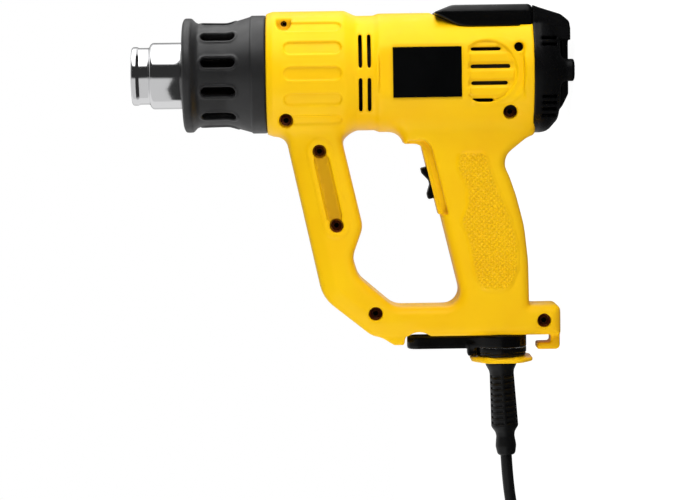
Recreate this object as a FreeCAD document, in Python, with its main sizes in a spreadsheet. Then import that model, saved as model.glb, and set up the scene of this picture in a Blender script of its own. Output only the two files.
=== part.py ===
import FreeCAD, Part

# Pistol heat gun with a closed handle, standing on its tail with the nozzle up.
# The gun is drawn in its own axes first: +Z runs along the barrel from the tail to the
# nozzle, +X points to the top of the barrel, and the handle hangs towards -X, so a "drop"
# is a distance below the barrel axis. Every finished piece then gets the same Placement,
# the small lean that the gun has when it stands on its tail feet and the heel of its base.
# Lengths are in millimetres and angles in degrees.
import math
import os
from types import SimpleNamespace

import Sketcher

CELLS = {
    # nozzle and nose collar
    "nozzle_tip": 260.0,
    "lip_radius": 17.0,
    "lip_length": 9.5,
    "step_length": 2.5,
    "tube_radius": 19.8,
    "tube_wall": 0.8,
    "tube_root": 140.0,
    "flange_thickness": 1.5,
    "collar_front": 231.0,
    "collar_rim_radius": 34.1,
    "collar_rim_length": 8.5,
    "collar_waist_radius": 30.5,
    "collar_band_radius": 35.2,
    "collar_band_length": 8.5,
    "collar_flare_length": 5.5,
    "collar_wall": 2.6,
    "collar_spigot_length": 5.5,
    "collar_mouth_gap": 1.6,
    "collar_lip_length": 3.0,
    "collar_slot_count": 11,
    "collar_slot_length": 22.5,
    "collar_slot_width": 6.6,
    "collar_slot_start": 197.3,
    "collar_turn": 11.8,
    # yellow barrel
    "barrel_front": 181.2,
    "bulge_radius": 37.6,
    "bulge_nose_radius": 35.8,
    "bulge_nose_length": 5.5,
    "bulge_back": 133.0,
    "neck_front": 126.5,
    "neck_back": 116.0,
    "neck_radius": 34.2,
    "neck_step": 3.0,
    "body_radius": 35.4,
    "body_flat": 32.5,
    "flare_radius": 37.0,
    "flare_front": 38.0,
    "barrel_back": 22.2,
    "barrel_wall": 4.2,
    "groove_count": 5,
    "groove_turn": 24.0,
    "groove_length": 34.0,
    "groove_width": 7.6,
    "groove_depth": 1.1,
    "groove_start": 135.2,
    "neck_slot_width": 2.0,
    "neck_slot_pitch": 5.2,
    "neck_slot_front": 125.1,
    "neck_slot_low": 2.8,
    "neck_slot_high": 22.6,
    "vent_front": 57.0,
    "vent_slot_height": 2.6,
    "vent_slot_pitch": 10.0,
    "vent_first_rise": 13.0,
    "vent_first_length": 16.5,
    "vent_second_length": 22.0,
    "vent_third_length": 20.5,
    "vent_fourth_length": 12.0,
    "vent_recess_radius": 21.6,
    "vent_recess_centre": 50.0,
    "vent_recess_front": 58.5,
    "vent_recess_depth": 0.7,
    "label_length": 40.3,
    "label_height": 29.6,
    "label_front": 105.0,
    "label_thickness": 0.8,
    "label_sink": 0.4,
    "label_border": 0.4,
    # handle
    "handle_width": 38.0,
    "handle_wall": 2.8,
    "handle_edge": 7.0,
    "strut_bend": 22.0,
    "handle_corner": 12.0,
    "base_corner": 9.0,
    "handle_root_drop": 20.0,
    "base_top": 139.4,
    "base_bottom": 157.5,
    "heel_back": 6.5,
    "strut_front_top": 172.6,
    "strut_front_low": 148.2,
    "strut_front_drop": 133.6,
    "strut_toe": 118.3,
    "strut_back_top": 139.2,
    "knuckle_along": 123.6,
    "knuckle_drop": 91.5,
    "hollow_along": 130.2,
    "hollow_drop": 109.5,
    "ramp_top": 126.7,
    "ramp_drop": 121.3,
    "ramp_foot": 105.6,
    "grip_front_low": 64.2,
    "grip_front_top": 87.2,
    "pad_drop": 42.5,
    "pad_front": 98.6,
    "pad_ramp": 7.0,
    "grip_back_low": 24.4,
    "grip_swell_along": 29.2,
    "grip_swell_drop": 90.0,
    "grip_web_along": 40.2,
    "grip_web_drop": 53.0,
    "grip_tail_drop": 37.0,
    "hook_throat": 12.0,
    "hook_tip": 20.2,
    "hook_gap": 5.2,
    "hook_bottom": 166.8,
    "hook_width": 16.0,
    "lip_back": 99.5,
    "lip_front": 106.0,
    "lip_bottom": 162.4,
    # tail cap and cover
    "cap_wall": 2.6,
    "cap_radius": 37.0,
    "cap_back": 6.6,
    "cap_round": 7.5,
    "spine_width": 26.0,
    "spine_foot_drop": 13.0,
    "spine_toe_drop": 23.0,
    "spine_toe_rise": 5.0,
    "panel_top": 38.0,
    "panel_foot": 25.0,
    "panel_seat": 20.0,
    "foot_spread": 24.0,
    "foot_radius": 6.6,
    "foot_flare_radius": 9.0,
    "foot_end": -2.0,
    "foot_flare_back": 4.5,
    "foot_flare_front": 11.0,
    "intake_height": 2.0,
    "intake_pitch": 3.7,
    "intake_drop": 15.2,
    "intake_length": 10.0,
    "intake_inner": 14.5,
    "cover_top": 39.4,
    "cover_edge": 26.4,
    "cover_width": 48.0,
    "cover_nose": 78.5,
    "cover_nose_foot": 63.0,
    "cover_nose_drop": 4.6,
    "cover_nose_length": 12.5,
    "cover_chamfer": 3.3,
    "screen_width": 22.0,
    "screen_height": 10.0,
    "screen_rise": 5.5,
    "screen_depth": 2.0,
    "lens_thickness": 1.0,
    "button_width": 13.0,
    "button_height": 6.5,
    "button_spread": 9.0,
    "button_set_back": 6.2,
    "button_depth": 3.4,
    "button_proud": 1.2,
    "button_clearance": 0.35,
    "button_flange": 0.8,
    # stand, hanging ring and cord outlet
    "gland_along": 41.5,
    "stand_gap": 0.3,
    "hub_radius": 15.4,
    "hub_thickness": 7.6,
    "collar_spigot_clearance": 0.08,
    "post_radius": 11.0,
    "post_bore": 6.4,
    "retainer_thickness": 5.0,
    "retainer_lip": 2.0,
    "stand_reach": 56.5,
    "stand_width": 12.6,
    "stand_thickness": 8.2,
    "ring_half_length": 26.5,
    "ring_half_width": 18.4,
    "ring_thickness": 2.2,
    "ring_rim": 3.4,
    "ring_hub_radius": 11.6,
    "ring_rib_width": 9.0,
    "neck_radius_low": 8.3,
    "relief_head_radius": 9.6,
    "relief_head_length": 4.5,
    "relief_radius": 8.5,
    "relief_rib_depth": 1.5,
    "relief_rib_pitch": 4.5,
    "relief_rib_count": 8,
    "relief_shank_radius": 6.2,
    "relief_tail_radius": 5.9,
    "relief_taper_length": 5.0,
    "relief_sleeve_length": 12.0,
    "relief_droop": 2.7,
    "cord_radius": 3.5,
    "seat_gap": 0.15,
    # switch
    "switch_drop": 65.5,
    "switch_plate_drop": 62.5,
    "switch_plate_length": 45.0,
    "switch_plate_width": 22.0,
    "switch_plate_thickness": 2.0,
    "switch_plate_sink": 0.8,
    "rocker_half_length": 9.6,
    "rocker_proud": 3.8,
    "rocker_valley": 1.0,
    "rocker_width": 12.6,
    "rocker_skirt": 5.0,
    "rocker_pivot_depth": 4.0,
    "rocker_clearance": 1.2,
    "rocker_side_gap": 0.4,
    "rocker_pin_radius": 1.5,
    "rocker_pin_length": 1.6,
    "pin_clearance": 0.08,
    "switch_body_length": 28.0,
    "switch_body_width": 18.0,
    "switch_body_depth": 24.0,
    "switch_body_floor": 10.5,
    # blower and heater
    "motor_radius": 13.9,
    "motor_back": 28.0,
    "motor_length": 38.0,
    "boss_radius": 4.5,
    "boss_length": 3.0,
    "shaft_radius": 1.5,
    "shaft_length": 54.0,
    "shaft_clearance": 0.08,
    "fan_radius": 26.8,
    "fan_back": 76.0,
    "fan_length": 14.0,
    "fan_plate": 1.5,
    "fan_blade_count": 11,
    "fan_blade_thickness": 1.0,
    "fan_hub_radius": 5.0,
    "fan_gap": 1.8,
    "duct_wall": 1.6,
    "duct_front": 112.0,
    "mount_thickness": 3.0,
    "mount_hole_radius": 5.0,
    "mount_hole_count": 6,
    "liner_wall": 0.5,
    "liner_back": 142.0,
    "heater_back": 152.0,
    "heater_length": 80.0,
    "heater_hole_radius": 1.9,
    "heater_inner_circle": 6.5,
    "heater_outer_circle": 12.8,
    "element_radius": 1.6,
    "cutout_length": 12.0,
    "cutout_width": 8.0,
    "cutout_thickness": 4.0,
    "board_rise": 22.0,
    "board_width": 40.0,
    "board_back": 24.0,
    "board_length": 36.0,
    "board_thickness": 1.6,
    "capacitor_radius": 2.6,
    "capacitor_length": 11.0,
    "sink_length": 16.0,
    "sink_width": 12.0,
    "sink_height": 4.5,
    "terminal_drop": 118.0,
    "terminal_length": 24.0,
    "terminal_width": 17.0,
    "terminal_depth": 12.0,
    "lead_radius": 1.3,
    "lead_spread": 4.0,
    "clamp_length": 22.0,
    "clamp_width": 10.0,
    "clamp_thickness": 4.0,
    # fasteners
    "screw_recess_radius": 4.1,
    "screw_boss_radius": 5.9,
    "screw_seat": 7.0,
    "screw_head_radius": 3.6,
    "screw_head_height": 2.4,
    "screw_socket_radius": 1.5,
    "screw_socket_depth": 1.2,
    "screw_shank_radius": 1.5,
    "screw_pilot_gap": 0.05,
    "screw_length": 18.0,
    "nose_upper_along": 168.8,
    "nose_upper_drop": -29.6,
    "nose_lower_along": 168.3,
    "nose_lower_drop": 27.3,
    "strut_upper_along": 148.9,
    "strut_upper_drop": 46.0,
    "strut_lower_along": 139.4,
    "strut_lower_drop": 90.2,
    "toe_along": 116.9,
    "toe_drop": 143.1,
    "heel_along": 16.6,
    "heel_drop": 148.6,
    "tail_along": 36.0,
    "tail_drop": 24.0,
    # cord, coil and plug
    "cord_length": 2200.0,
    "coil_radius": 35.0,
    "coil_width": 21.0,
    "coil_height": 21.0,
    "coil_start": 75.5,
    "tie_width": 9.0,
    "tie_thickness": 1.2,
    "cord_end_run": 4.8,
    "plug_length": 36.0,
    "plug_width": 35.0,
    "plug_thickness": 17.5,
    "plug_boot_length": 16.0,
    "plug_boot_radius": 6.0,
    "plug_pin_radius": 2.4,
    "plug_pin_spacing": 19.0,
    "plug_pin_length": 19.0,
}

vector = FreeCAD.Vector


class Size:
    """A number that remembers the spreadsheet formula it comes from."""

    def __init__(self, number, formula):
        self.number = float(number)
        self.formula = formula

    def __add__(self, other):
        other = sized(other)
        return Size(self.number + other.number, f"({self.formula} + {other.formula})")

    def __sub__(self, other):
        other = sized(other)
        return Size(self.number - other.number, f"({self.formula} - {other.formula})")

    def __mul__(self, other):
        other = sized(other)
        return Size(self.number * other.number, f"({self.formula} * {other.formula})")

    def __truediv__(self, other):
        other = sized(other)
        return Size(self.number / other.number, f"({self.formula} / {other.formula})")

    def __rsub__(self, other):
        return sized(other) - self

    def __neg__(self):
        return Size(0, "0") - self

    def __float__(self):
        return self.number

    __radd__ = __add__
    __rmul__ = __mul__


def sized(value):
    """Turn a plain number into a Size, and leave a Size as it is."""
    if isinstance(value, Size):
        return value
    return Size(value, f"({float(value)!r})")


def leg(hypotenuse, side):
    """The other short side of a right-angled triangle."""
    number = math.sqrt(float(hypotenuse) ** 2 - float(side) ** 2)
    return Size(number, f"sqrt({hypotenuse.formula} ^ 2 - {side.formula} ^ 2)")


doc = FreeCAD.newDocument("HeatGun")
sheet = doc.addObject("Spreadsheet::Sheet", "Sizes")
for row, (alias, number) in enumerate(CELLS.items(), start=1):
    sheet.set(f"A{row}", alias)
    sheet.set(f"B{row}", str(number))
    sheet.setAlias(f"B{row}", alias)
doc.recompute()
s = SimpleNamespace(**{alias: Size(number, f"Sizes.{alias}") for alias, number in CELLS.items()})

TURNS = {
    "Z": FreeCAD.Rotation(),
    "-Z": FreeCAD.Rotation(vector(1, 0, 0), 180),
    "X": FreeCAD.Rotation(vector(0, 1, 0), 90),
    "-X": FreeCAD.Rotation(vector(0, 1, 0), -90),
    "Y": FreeCAD.Rotation(vector(1, 0, 0), -90),
    "-Y": FreeCAD.Rotation(vector(1, 0, 0), 90),
}


def bind(thing, name, value):
    """Tie one property to its spreadsheet formula."""
    thing.setExpression(name, sized(value).formula)


def seat(thing, corner, turn="Z"):
    """Turn a primitive and tie its position to the sheet."""
    thing.Placement = FreeCAD.Placement(vector(*[float(value) for value in corner]), TURNS[turn])
    for letter, value in zip("xyz", corner):
        bind(thing, f"Placement.Base.{letter}", value)
    return thing


def box(name, corner, lengths):
    thing = doc.addObject("Part::Box", name)
    for key, value in zip(("Length", "Width", "Height"), lengths):
        bind(thing, key, value)
    return seat(thing, corner)


def cylinder(name, radius, length, start, turn="Z"):
    thing = doc.addObject("Part::Cylinder", name)
    bind(thing, "Radius", radius)
    bind(thing, "Height", length)
    return seat(thing, start, turn)


def cone(name, first, last, length, start, turn="Z"):
    thing = doc.addObject("Part::Cone", name)
    bind(thing, "Radius1", first)
    bind(thing, "Radius2", last)
    bind(thing, "Height", length)
    return seat(thing, start, turn)


def join(name, parts):
    thing = doc.addObject("Part::MultiFuse", name)
    thing.Shapes = parts
    return thing


def cut(name, base, tools):
    thing = doc.addObject("Part::Cut", name)
    thing.Base = base
    thing.Tool = tools[0] if len(tools) == 1 else join(name + "_tools", tools)
    return thing


def common(name, first, second):
    thing = doc.addObject("Part::Common", name)
    thing.Base = first
    thing.Tool = second
    return thing


def group(name, parts):
    thing = doc.addObject("Part::Compound", name)
    thing.Links = parts
    return thing


def sketch_on(body, plane, start, outlines):
    """A sketch of straight-sided outlines, every corner tied to the sheet.

    plane is XY, XZ or YZ, and start is its distance along the sketch's own normal, which is
    +Z for XY, -Y for XZ and +X for YZ.
    """
    sketch = body.newObject("Sketcher::SketchObject", body.Name + "_sketch")
    origin_plane = next(item for item in body.Origin.OriginFeatures if item.Role == f"{plane}_Plane")
    sketch.AttachmentSupport = [(origin_plane, "")]
    sketch.MapMode = "FlatFace"
    sketch.AttachmentOffset = FreeCAD.Placement(vector(0, 0, float(start)), FreeCAD.Rotation())
    bind(sketch, "AttachmentOffset.Base.z", start)
    first = 0
    for outline in outlines:
        count = len(outline)
        corners = [vector(float(across), float(along), 0) for across, along in outline]
        for index in range(count):
            sketch.addGeometry(Part.LineSegment(corners[index], corners[(index + 1) % count]), False)
        for index in range(count):
            line = first + index
            following = first + (index + 1) % count
            sketch.addConstraint(Sketcher.Constraint("Coincident", line, 2, following, 1))
        for index, (across, along) in enumerate(outline):
            line = first + index
            for kind, value in (("DistanceX", across), ("DistanceY", along)):
                number = sketch.addConstraint(Sketcher.Constraint(kind, -1, 1, line, 1, float(value)))
                label = f"{kind}{line}"
                sketch.renameConstraint(number, label)
                bind(sketch, f"Constraints.{label}", value)
        first += count
    return sketch


def turned(name, outline):
    """A body of revolution about the barrel axis from (radius, along) corners."""
    body = doc.addObject("PartDesign::Body", name)
    sketch = sketch_on(body, "XZ", 0, [outline])
    turn = body.newObject("PartDesign::Revolution", name + "_turn")
    turn.Profile = sketch
    turn.ReferenceAxis = (sketch, ["V_Axis"])
    turn.Angle = 360
    return body


def slab(name, plane, outlines, start, thickness):
    """A body padded from a sketch, along the sketch's own normal."""
    body = doc.addObject("PartDesign::Body", name)
    pad = body.newObject("PartDesign::Pad", name + "_pad")
    pad.Profile = sketch_on(body, plane, start, outlines)
    bind(pad, "Length", thickness)
    return body


def side_slab(name, outlines, width):
    """A slab of (X, Z) corners, centred on the gun's middle plane."""
    return slab(name, "XZ", outlines, -width / 2, width)


def round_edges(body, kind, size, wanted):
    """Fillet or chamfer the edges of a body that the test picks."""
    doc.recompute()
    base = body.Tip
    picked = [f"Edge{number}" for number, edge in enumerate(base.Shape.Edges, start=1) if wanted(edge)]
    if not picked:
        raise ValueError(f"{body.Name}: no edge to round")
    feature = body.newObject(f"PartDesign::{kind}", f"{body.Name}_{kind.lower()}")
    feature.Base = (base, picked)
    bind(feature, "Radius" if kind == "Fillet" else "Size", size)
    doc.recompute()
    return body


def upright_at(*points):
    """Pick the edges along Y that pass through the given (X, Z) points."""
    spots = [(float(across), float(along)) for across, along in points]

    def wanted(edge):
        low, high = edge.BoundBox.XMin, edge.BoundBox.ZMin
        if edge.BoundBox.XLength > 0.01 or edge.BoundBox.ZLength > 0.01:
            return False
        return any(math.hypot(low - across, high - along) < 0.05 for across, along in spots)

    return wanted


def around(name, tool_maker, count):
    """Repeat a piece evenly about the barrel axis."""
    parts = []
    for index in range(int(count)):
        thing = tool_maker(f"{name}_{index}")
        thing.Placement = FreeCAD.Placement(
            vector(), FreeCAD.Rotation(vector(0, 0, 1), 360.0 * index / int(count))
        )
        parts.append(thing)
    return parts


pieces = {}


def keep(node, thing, place=FreeCAD.Placement()):
    """List a finished piece under its node name, with its own place on the gun."""
    pieces[node] = (thing, place)
    return thing


# ---------------------------------------------------------------- barrel and handle shell
barrel_outline = [
    (0, s.barrel_back),
    (s.flare_radius, s.barrel_back),
    (s.flare_radius, s.flare_front - s.neck_step),
    (s.body_radius, s.flare_front),
    (s.body_radius, s.neck_back - s.neck_step),
    (s.neck_radius, s.neck_back),
    (s.neck_radius, s.neck_front),
    (s.bulge_radius, s.bulge_back),
    (s.bulge_radius, s.barrel_front - s.bulge_nose_length),
    (s.bulge_nose_radius, s.barrel_front),
    (0, s.barrel_front),
]
barrel_round = turned("barrel_round", barrel_outline)
flat_length = s.neck_back - s.neck_step - s.flare_front
flats = [
    box("flat_left", (-s.flare_radius, -s.flare_radius * 2 - s.body_flat, s.flare_front),
        (s.flare_radius * 2, s.flare_radius * 2, flat_length)),
    box("flat_right", (-s.flare_radius, s.body_flat, s.flare_front),
        (s.flare_radius * 2, s.flare_radius * 2, flat_length)),
]
barrel_skin = cut("barrel_skin", barrel_round, flats)

handle_outer = [
    (-s.handle_root_drop, s.strut_front_top),
    (-s.strut_front_drop, s.strut_front_low),
    (-s.base_bottom, s.strut_toe),
    (-s.base_bottom, s.heel_back),
    (-s.base_top, s.heel_back),
    (-s.base_top, s.grip_back_low),
    (-s.grip_swell_drop, s.grip_swell_along),
    (-s.grip_web_drop, s.grip_web_along),
    (-s.grip_tail_drop, s.barrel_back),
    (-s.handle_root_drop, s.barrel_back),
]
hole_top = -s.handle_root_drop - s.handle_wall
handle_hole = [
    (hole_top, s.strut_back_top),
    (-s.knuckle_drop, s.knuckle_along),
    (-s.hollow_drop, s.hollow_along),
    (-s.ramp_drop, s.ramp_top),
    (-s.base_top, s.ramp_foot),
    (-s.base_top, s.grip_front_low),
    (-s.pad_drop, s.grip_front_top),
    (-s.pad_drop, s.pad_front),
    (hole_top, s.pad_front + s.pad_ramp),
]
handle = side_slab("handle", [handle_outer, handle_hole], s.handle_width)
round_edges(handle, "Fillet", s.strut_bend, upright_at(handle_outer[1]))
round_edges(handle, "Fillet", s.handle_corner, upright_at(
    handle_outer[2], handle_outer[7], handle_hole[1], handle_hole[2], handle_hole[3], handle_hole[4]
))
round_edges(handle, "Fillet", s.base_corner, upright_at(handle_outer[4], handle_hole[5]))
round_edges(handle, "Fillet", s.handle_edge + 0.5, upright_at(handle_outer[3]))
round_edges(handle, "Fillet", s.handle_edge, upright_at(handle_hole[6], handle_outer[6]))


def rim_edge(edge):
    """Pick the outline edges of the handle's two side faces, below the barrel."""
    bounds = edge.BoundBox
    on_side = abs(abs(bounds.YMin) - float(s.handle_width) / 2) < 0.01 and bounds.YLength < 0.01
    buried = bounds.XLength < 0.01 and bounds.XMax > float(hole_top) - 0.1
    return on_side and not buried and bounds.XMin < -float(s.handle_root_drop) - 1


round_edges(handle, "Fillet", s.handle_edge, rim_edge)

lip_outline = [
    (-s.base_bottom + s.handle_wall, s.lip_back),
    (-s.lip_bottom, s.lip_back),
    (-s.lip_bottom, s.lip_front),
    (-s.base_bottom + s.handle_wall, s.strut_toe),
]
lip = side_slab("lip", [lip_outline], s.handle_width - s.handle_edge)
hook_outline = [
    (-s.base_bottom + s.handle_wall, s.heel_back),
    (-s.hook_bottom, s.heel_back),
    (-s.hook_bottom, s.hook_tip),
    (-s.base_bottom - s.hook_gap, s.hook_tip),
    (-s.base_bottom - s.hook_gap, s.hook_throat),
    (-s.base_bottom + s.handle_wall, s.hook_throat),
]
hook = side_slab("hook", [hook_outline], s.hook_width)
post_top = s.base_bottom - s.handle_wall
hub_foot = s.base_bottom + s.stand_gap + s.hub_thickness
post = cylinder("post", s.post_radius, hub_foot + s.stand_gap - post_top,
                (-post_top, 0, s.gland_along), "-X")
skin = join("skin", [barrel_skin, handle, lip, hook])

# rooms inside the shell
room_radius = s.body_radius - s.barrel_wall
barrel_room = turned("barrel_room", [
    (0, s.barrel_back - 1), (room_radius, s.barrel_back - 1),
    (room_radius, s.barrel_front + 1), (0, s.barrel_front + 1),
])
wall = s.handle_wall
room_width = s.handle_width - wall * 2
grip_room = side_slab("grip_room", [[
    (-s.handle_root_drop, s.grip_front_top - wall),
    (-s.pad_drop, s.grip_front_top - wall * 1.2),
    (-s.base_top - wall, s.grip_front_low - wall * 1.2),
    (-s.base_top - wall, s.grip_back_low + wall * 1.2),
    (-s.grip_swell_drop, s.grip_swell_along + wall * 1.1),
    (-s.grip_web_drop, s.grip_web_along + wall * 1.6),
    (-s.handle_root_drop, s.grip_web_along + wall * 1.6),
]], room_width)
strut_room = side_slab("strut_room", [[
    (-s.handle_root_drop, s.strut_front_top - wall * 1.1),
    (-s.strut_front_drop + wall, s.strut_front_low - wall * 2),
    (-s.base_bottom + wall, s.strut_toe - wall),
    (-s.base_bottom + wall, s.ramp_foot - wall * 2),
    (-s.base_top - wall, s.ramp_foot - wall * 2),
    (-s.base_top - wall, s.ramp_foot + wall * 0.6),
    (-s.ramp_drop - wall, s.ramp_top + wall * 0.8),
    (-s.hollow_drop, s.hollow_along + wall * 1.2),
    (-s.knuckle_drop, s.knuckle_along + wall * 1.3),
    (-s.handle_root_drop, s.strut_back_top + wall * 1.1),
]], room_width)
base_room = box("base_room", (-s.base_bottom + wall, -room_width / 2, s.grip_back_low + wall),
                (s.base_bottom - s.base_top - wall * 2, room_width,
                 s.ramp_foot - s.grip_back_low - wall * 2))
heel_room = box("heel_room", (-s.base_bottom + wall, -room_width / 2, s.heel_back + wall),
                (s.base_bottom - s.base_top - wall * 2, room_width, s.grip_back_low - s.heel_back))

# screws: where each one is, and how far out its face lies
screws = {
    "nose_upper": (s.nose_upper_along, s.nose_upper_drop, leg(s.bulge_radius, s.nose_upper_drop)),
    "nose_lower": (s.nose_lower_along, s.nose_lower_drop, leg(s.bulge_radius, s.nose_lower_drop)),
    "tail": (s.tail_along, s.tail_drop, leg(s.body_radius, s.tail_drop)),
    "strut_upper": (s.strut_upper_along, s.strut_upper_drop, s.handle_width / 2),
    "strut_lower": (s.strut_lower_along, s.strut_lower_drop, s.handle_width / 2),
    "toe": (s.toe_along, s.toe_drop, s.handle_width / 2),
    "heel": (s.heel_along, s.heel_drop, s.handle_width / 2),
}
bosses = []
screw_holes = []
screw_solids = []
for spot, (along, drop, face) in screws.items():
    head_floor = -face + s.screw_seat
    bosses.append(cylinder(f"boss_{spot}", s.screw_boss_radius, face * 2, (-drop, -face, along), "Y"))
    screw_holes.append(cylinder(f"recess_{spot}", s.screw_recess_radius, s.screw_seat * 2,
                                (-drop, head_floor - s.screw_seat * 2, along), "Y"))
    screw_holes.append(cylinder(f"pilot_{spot}", s.screw_shank_radius + s.screw_pilot_gap,
                                s.screw_length + 1, (-drop, head_floor - 0.5, along), "Y"))
    head = cylinder(f"head_{spot}", s.screw_head_radius, s.screw_head_height,
                    (-drop, head_floor - s.screw_head_height, along), "Y")
    shank = cylinder(f"shank_{spot}", s.screw_shank_radius, s.screw_length,
                     (-drop, head_floor - 0.5, along), "Y")
    socket = cylinder(f"socket_{spot}", s.screw_socket_radius, s.screw_socket_depth * 2,
                      (-drop, head_floor - s.screw_head_height - s.screw_socket_depth, along), "Y")
    screw_solids.append(cut(f"screw_{spot}", join(f"screw_blank_{spot}", [head, shank]), [socket]))
keep("housing_screws", group("housing_screws", screw_solids))
bosses_in_skin = common("bosses_in_skin", join("bosses", bosses), skin)

# surface detail of the barrel
openings = list(screw_holes)
groove_half = s.groove_width / 2
reach = s.bulge_radius - s.groove_depth
for index in range(int(CELLS["groove_count"]) * 2):
    side, step = divmod(index, int(CELLS["groove_count"]))
    turn = (90, 270)[side] + CELLS["groove_turn"] * (step - (CELLS["groove_count"] - 1) / 2)
    groove = slab(f"groove_{index}", "YZ", [[
        (-groove_half, s.groove_start + groove_half * 0.6),
        (-groove_half * 0.5, s.groove_start),
        (groove_half * 0.5, s.groove_start),
        (groove_half, s.groove_start + groove_half * 0.6),
        (groove_half, s.groove_start + s.groove_length - groove_half * 0.6),
        (groove_half * 0.5, s.groove_start + s.groove_length),
        (-groove_half * 0.5, s.groove_start + s.groove_length),
        (-groove_half, s.groove_start + s.groove_length - groove_half * 0.6),
    ]], reach, s.groove_depth * 4)
    groove.Placement = FreeCAD.Placement(vector(), FreeCAD.Rotation(vector(0, 0, 1), turn))
    openings.append(groove)
for column in range(2):
    low = s.neck_slot_front - s.neck_slot_width - s.neck_slot_pitch * column
    for side, inner in (("low", -s.neck_slot_high), ("high", s.neck_slot_low)):
        openings.append(box(f"neck_slot_{side}_{column}", (inner, -s.bulge_radius, low),
                            (s.neck_slot_high - s.neck_slot_low, s.bulge_radius * 2, s.neck_slot_width)))
vent_lengths = (s.vent_first_length, s.vent_second_length, s.vent_third_length, s.vent_fourth_length)
for index, length in enumerate(vent_lengths):
    rise = s.vent_first_rise - s.vent_slot_pitch * index - s.vent_slot_height / 2
    openings.append(box(f"vent_{index}", (rise, -s.bulge_radius, s.vent_front - length),
                        (s.vent_slot_height, s.bulge_radius * 2, length)))
for side, start in (("left", -s.bulge_radius * 2 - s.body_flat + s.vent_recess_depth),
                    ("right", s.body_flat - s.vent_recess_depth)):
    disc = cylinder(f"recess_disc_{side}", s.vent_recess_radius, s.bulge_radius * 2,
                    (0, start, s.vent_recess_centre), "Y")
    front = box(f"recess_front_{side}", (-s.bulge_radius, start, s.vent_recess_front),
                (s.bulge_radius * 2, s.bulge_radius * 2, s.vent_recess_radius * 2))
    openings.append(cut(f"vent_recess_{side}", disc, [front]))

# labels, left bare, in shallow pockets on both flats
label_floor = s.body_flat - s.label_sink
label_corners = [
    (-s.label_height / 2, s.label_front - s.label_length),
    (s.label_height / 2, s.label_front - s.label_length),
    (s.label_height / 2, s.label_front),
    (-s.label_height / 2, s.label_front),
]
pocket_corners = [
    (-s.label_height / 2 - s.label_border, s.label_front - s.label_length - s.label_border),
    (s.label_height / 2 + s.label_border, s.label_front - s.label_length - s.label_border),
    (s.label_height / 2 + s.label_border, s.label_front + s.label_border),
    (-s.label_height / 2 - s.label_border, s.label_front + s.label_border),
]
keep("label_left", slab("label_left", "XZ", [label_corners], label_floor, s.label_thickness))
keep("label_right", slab("label_right", "XZ", [label_corners], -label_floor - s.label_thickness,
                         s.label_thickness))
openings.append(slab("label_pocket_left", "XZ", [pocket_corners], label_floor, s.label_sink * 6))
openings.append(slab("label_pocket_right", "XZ", [pocket_corners], -label_floor - s.label_sink * 6,
                     s.label_sink * 6))

# the switch sits on the grip's front face, which slopes
grip_slope = math.degrees(math.atan2(
    float(s.grip_front_top - s.grip_front_low), float(s.base_top - s.pad_drop)
))


def on_grip_front(drop):
    """The frame on the grip's front face: +Z out of the face, +X up towards the barrel."""
    share = (float(drop) - float(s.pad_drop)) / float(s.base_top - s.pad_drop)
    along = float(s.grip_front_top) - share * float(s.grip_front_top - s.grip_front_low)
    return FreeCAD.Placement(
        vector(-float(drop), 0, along), FreeCAD.Rotation(vector(0, 1, 0), -grip_slope)
    )


switch_place = on_grip_front(s.switch_drop)
plate_place = on_grip_front(s.switch_plate_drop)
plate_shift = float(s.switch_drop - s.switch_plate_drop) / math.cos(math.radians(grip_slope))
body_gap = s.seat_gap
switch_top = -s.switch_plate_sink - body_gap
switch_blank = box("switch_blank", (-s.switch_body_length / 2, -s.switch_body_width / 2,
                                    switch_top - s.switch_body_depth),
                   (s.switch_body_length, s.switch_body_width, s.switch_body_depth))
well_length = (s.rocker_half_length + s.rocker_clearance) * 2
well_width = s.rocker_width + s.rocker_side_gap * 2
switch_well = box("switch_well", (-well_length / 2, -well_width / 2, -s.switch_body_floor),
                  (well_length, well_width, s.switch_body_floor * 2))
pin_hole = cylinder("pin_hole", s.rocker_pin_radius + s.pin_clearance,
                    well_width + s.rocker_pin_length * 2,
                    (0, -well_width / 2 - s.rocker_pin_length, -s.rocker_pivot_depth), "Y")
keep("switch_body", cut("switch_body", switch_blank, [switch_well, pin_hole]), switch_place)

rocker_side = [
    (-s.rocker_half_length + 1.6, -s.rocker_pivot_depth - s.rocker_skirt),
    (s.rocker_half_length - 1.6, -s.rocker_pivot_depth - s.rocker_skirt),
    (s.rocker_half_length, -s.rocker_pivot_depth + 1),
    (s.rocker_half_length, s.rocker_proud - 0.9),
    (s.rocker_half_length - 1.2, s.rocker_proud),
    (s.rocker_half_length - 3, s.rocker_proud - 0.3),
    (s.rocker_half_length / 4, s.rocker_valley),
    (-s.rocker_half_length / 4, s.rocker_valley),
    (-s.rocker_half_length + 3, s.rocker_proud - 0.3),
    (-s.rocker_half_length + 1.2, s.rocker_proud),
    (-s.rocker_half_length, s.rocker_proud - 0.9),
    (-s.rocker_half_length, -s.rocker_pivot_depth + 1),
]
rocker_block = side_slab("rocker_block", [rocker_side], s.rocker_width)
rocker_pin = cylinder("rocker_pin", s.rocker_pin_radius,
                      s.rocker_width + s.rocker_side_gap * 2 + s.rocker_pin_length * 1.6,
                      (0, -s.rocker_width / 2 - s.rocker_side_gap - s.rocker_pin_length * 0.8,
                       -s.rocker_pivot_depth), "Y")
keep("switch_rocker", join("switch_rocker", [rocker_block, rocker_pin]), switch_place)

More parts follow.
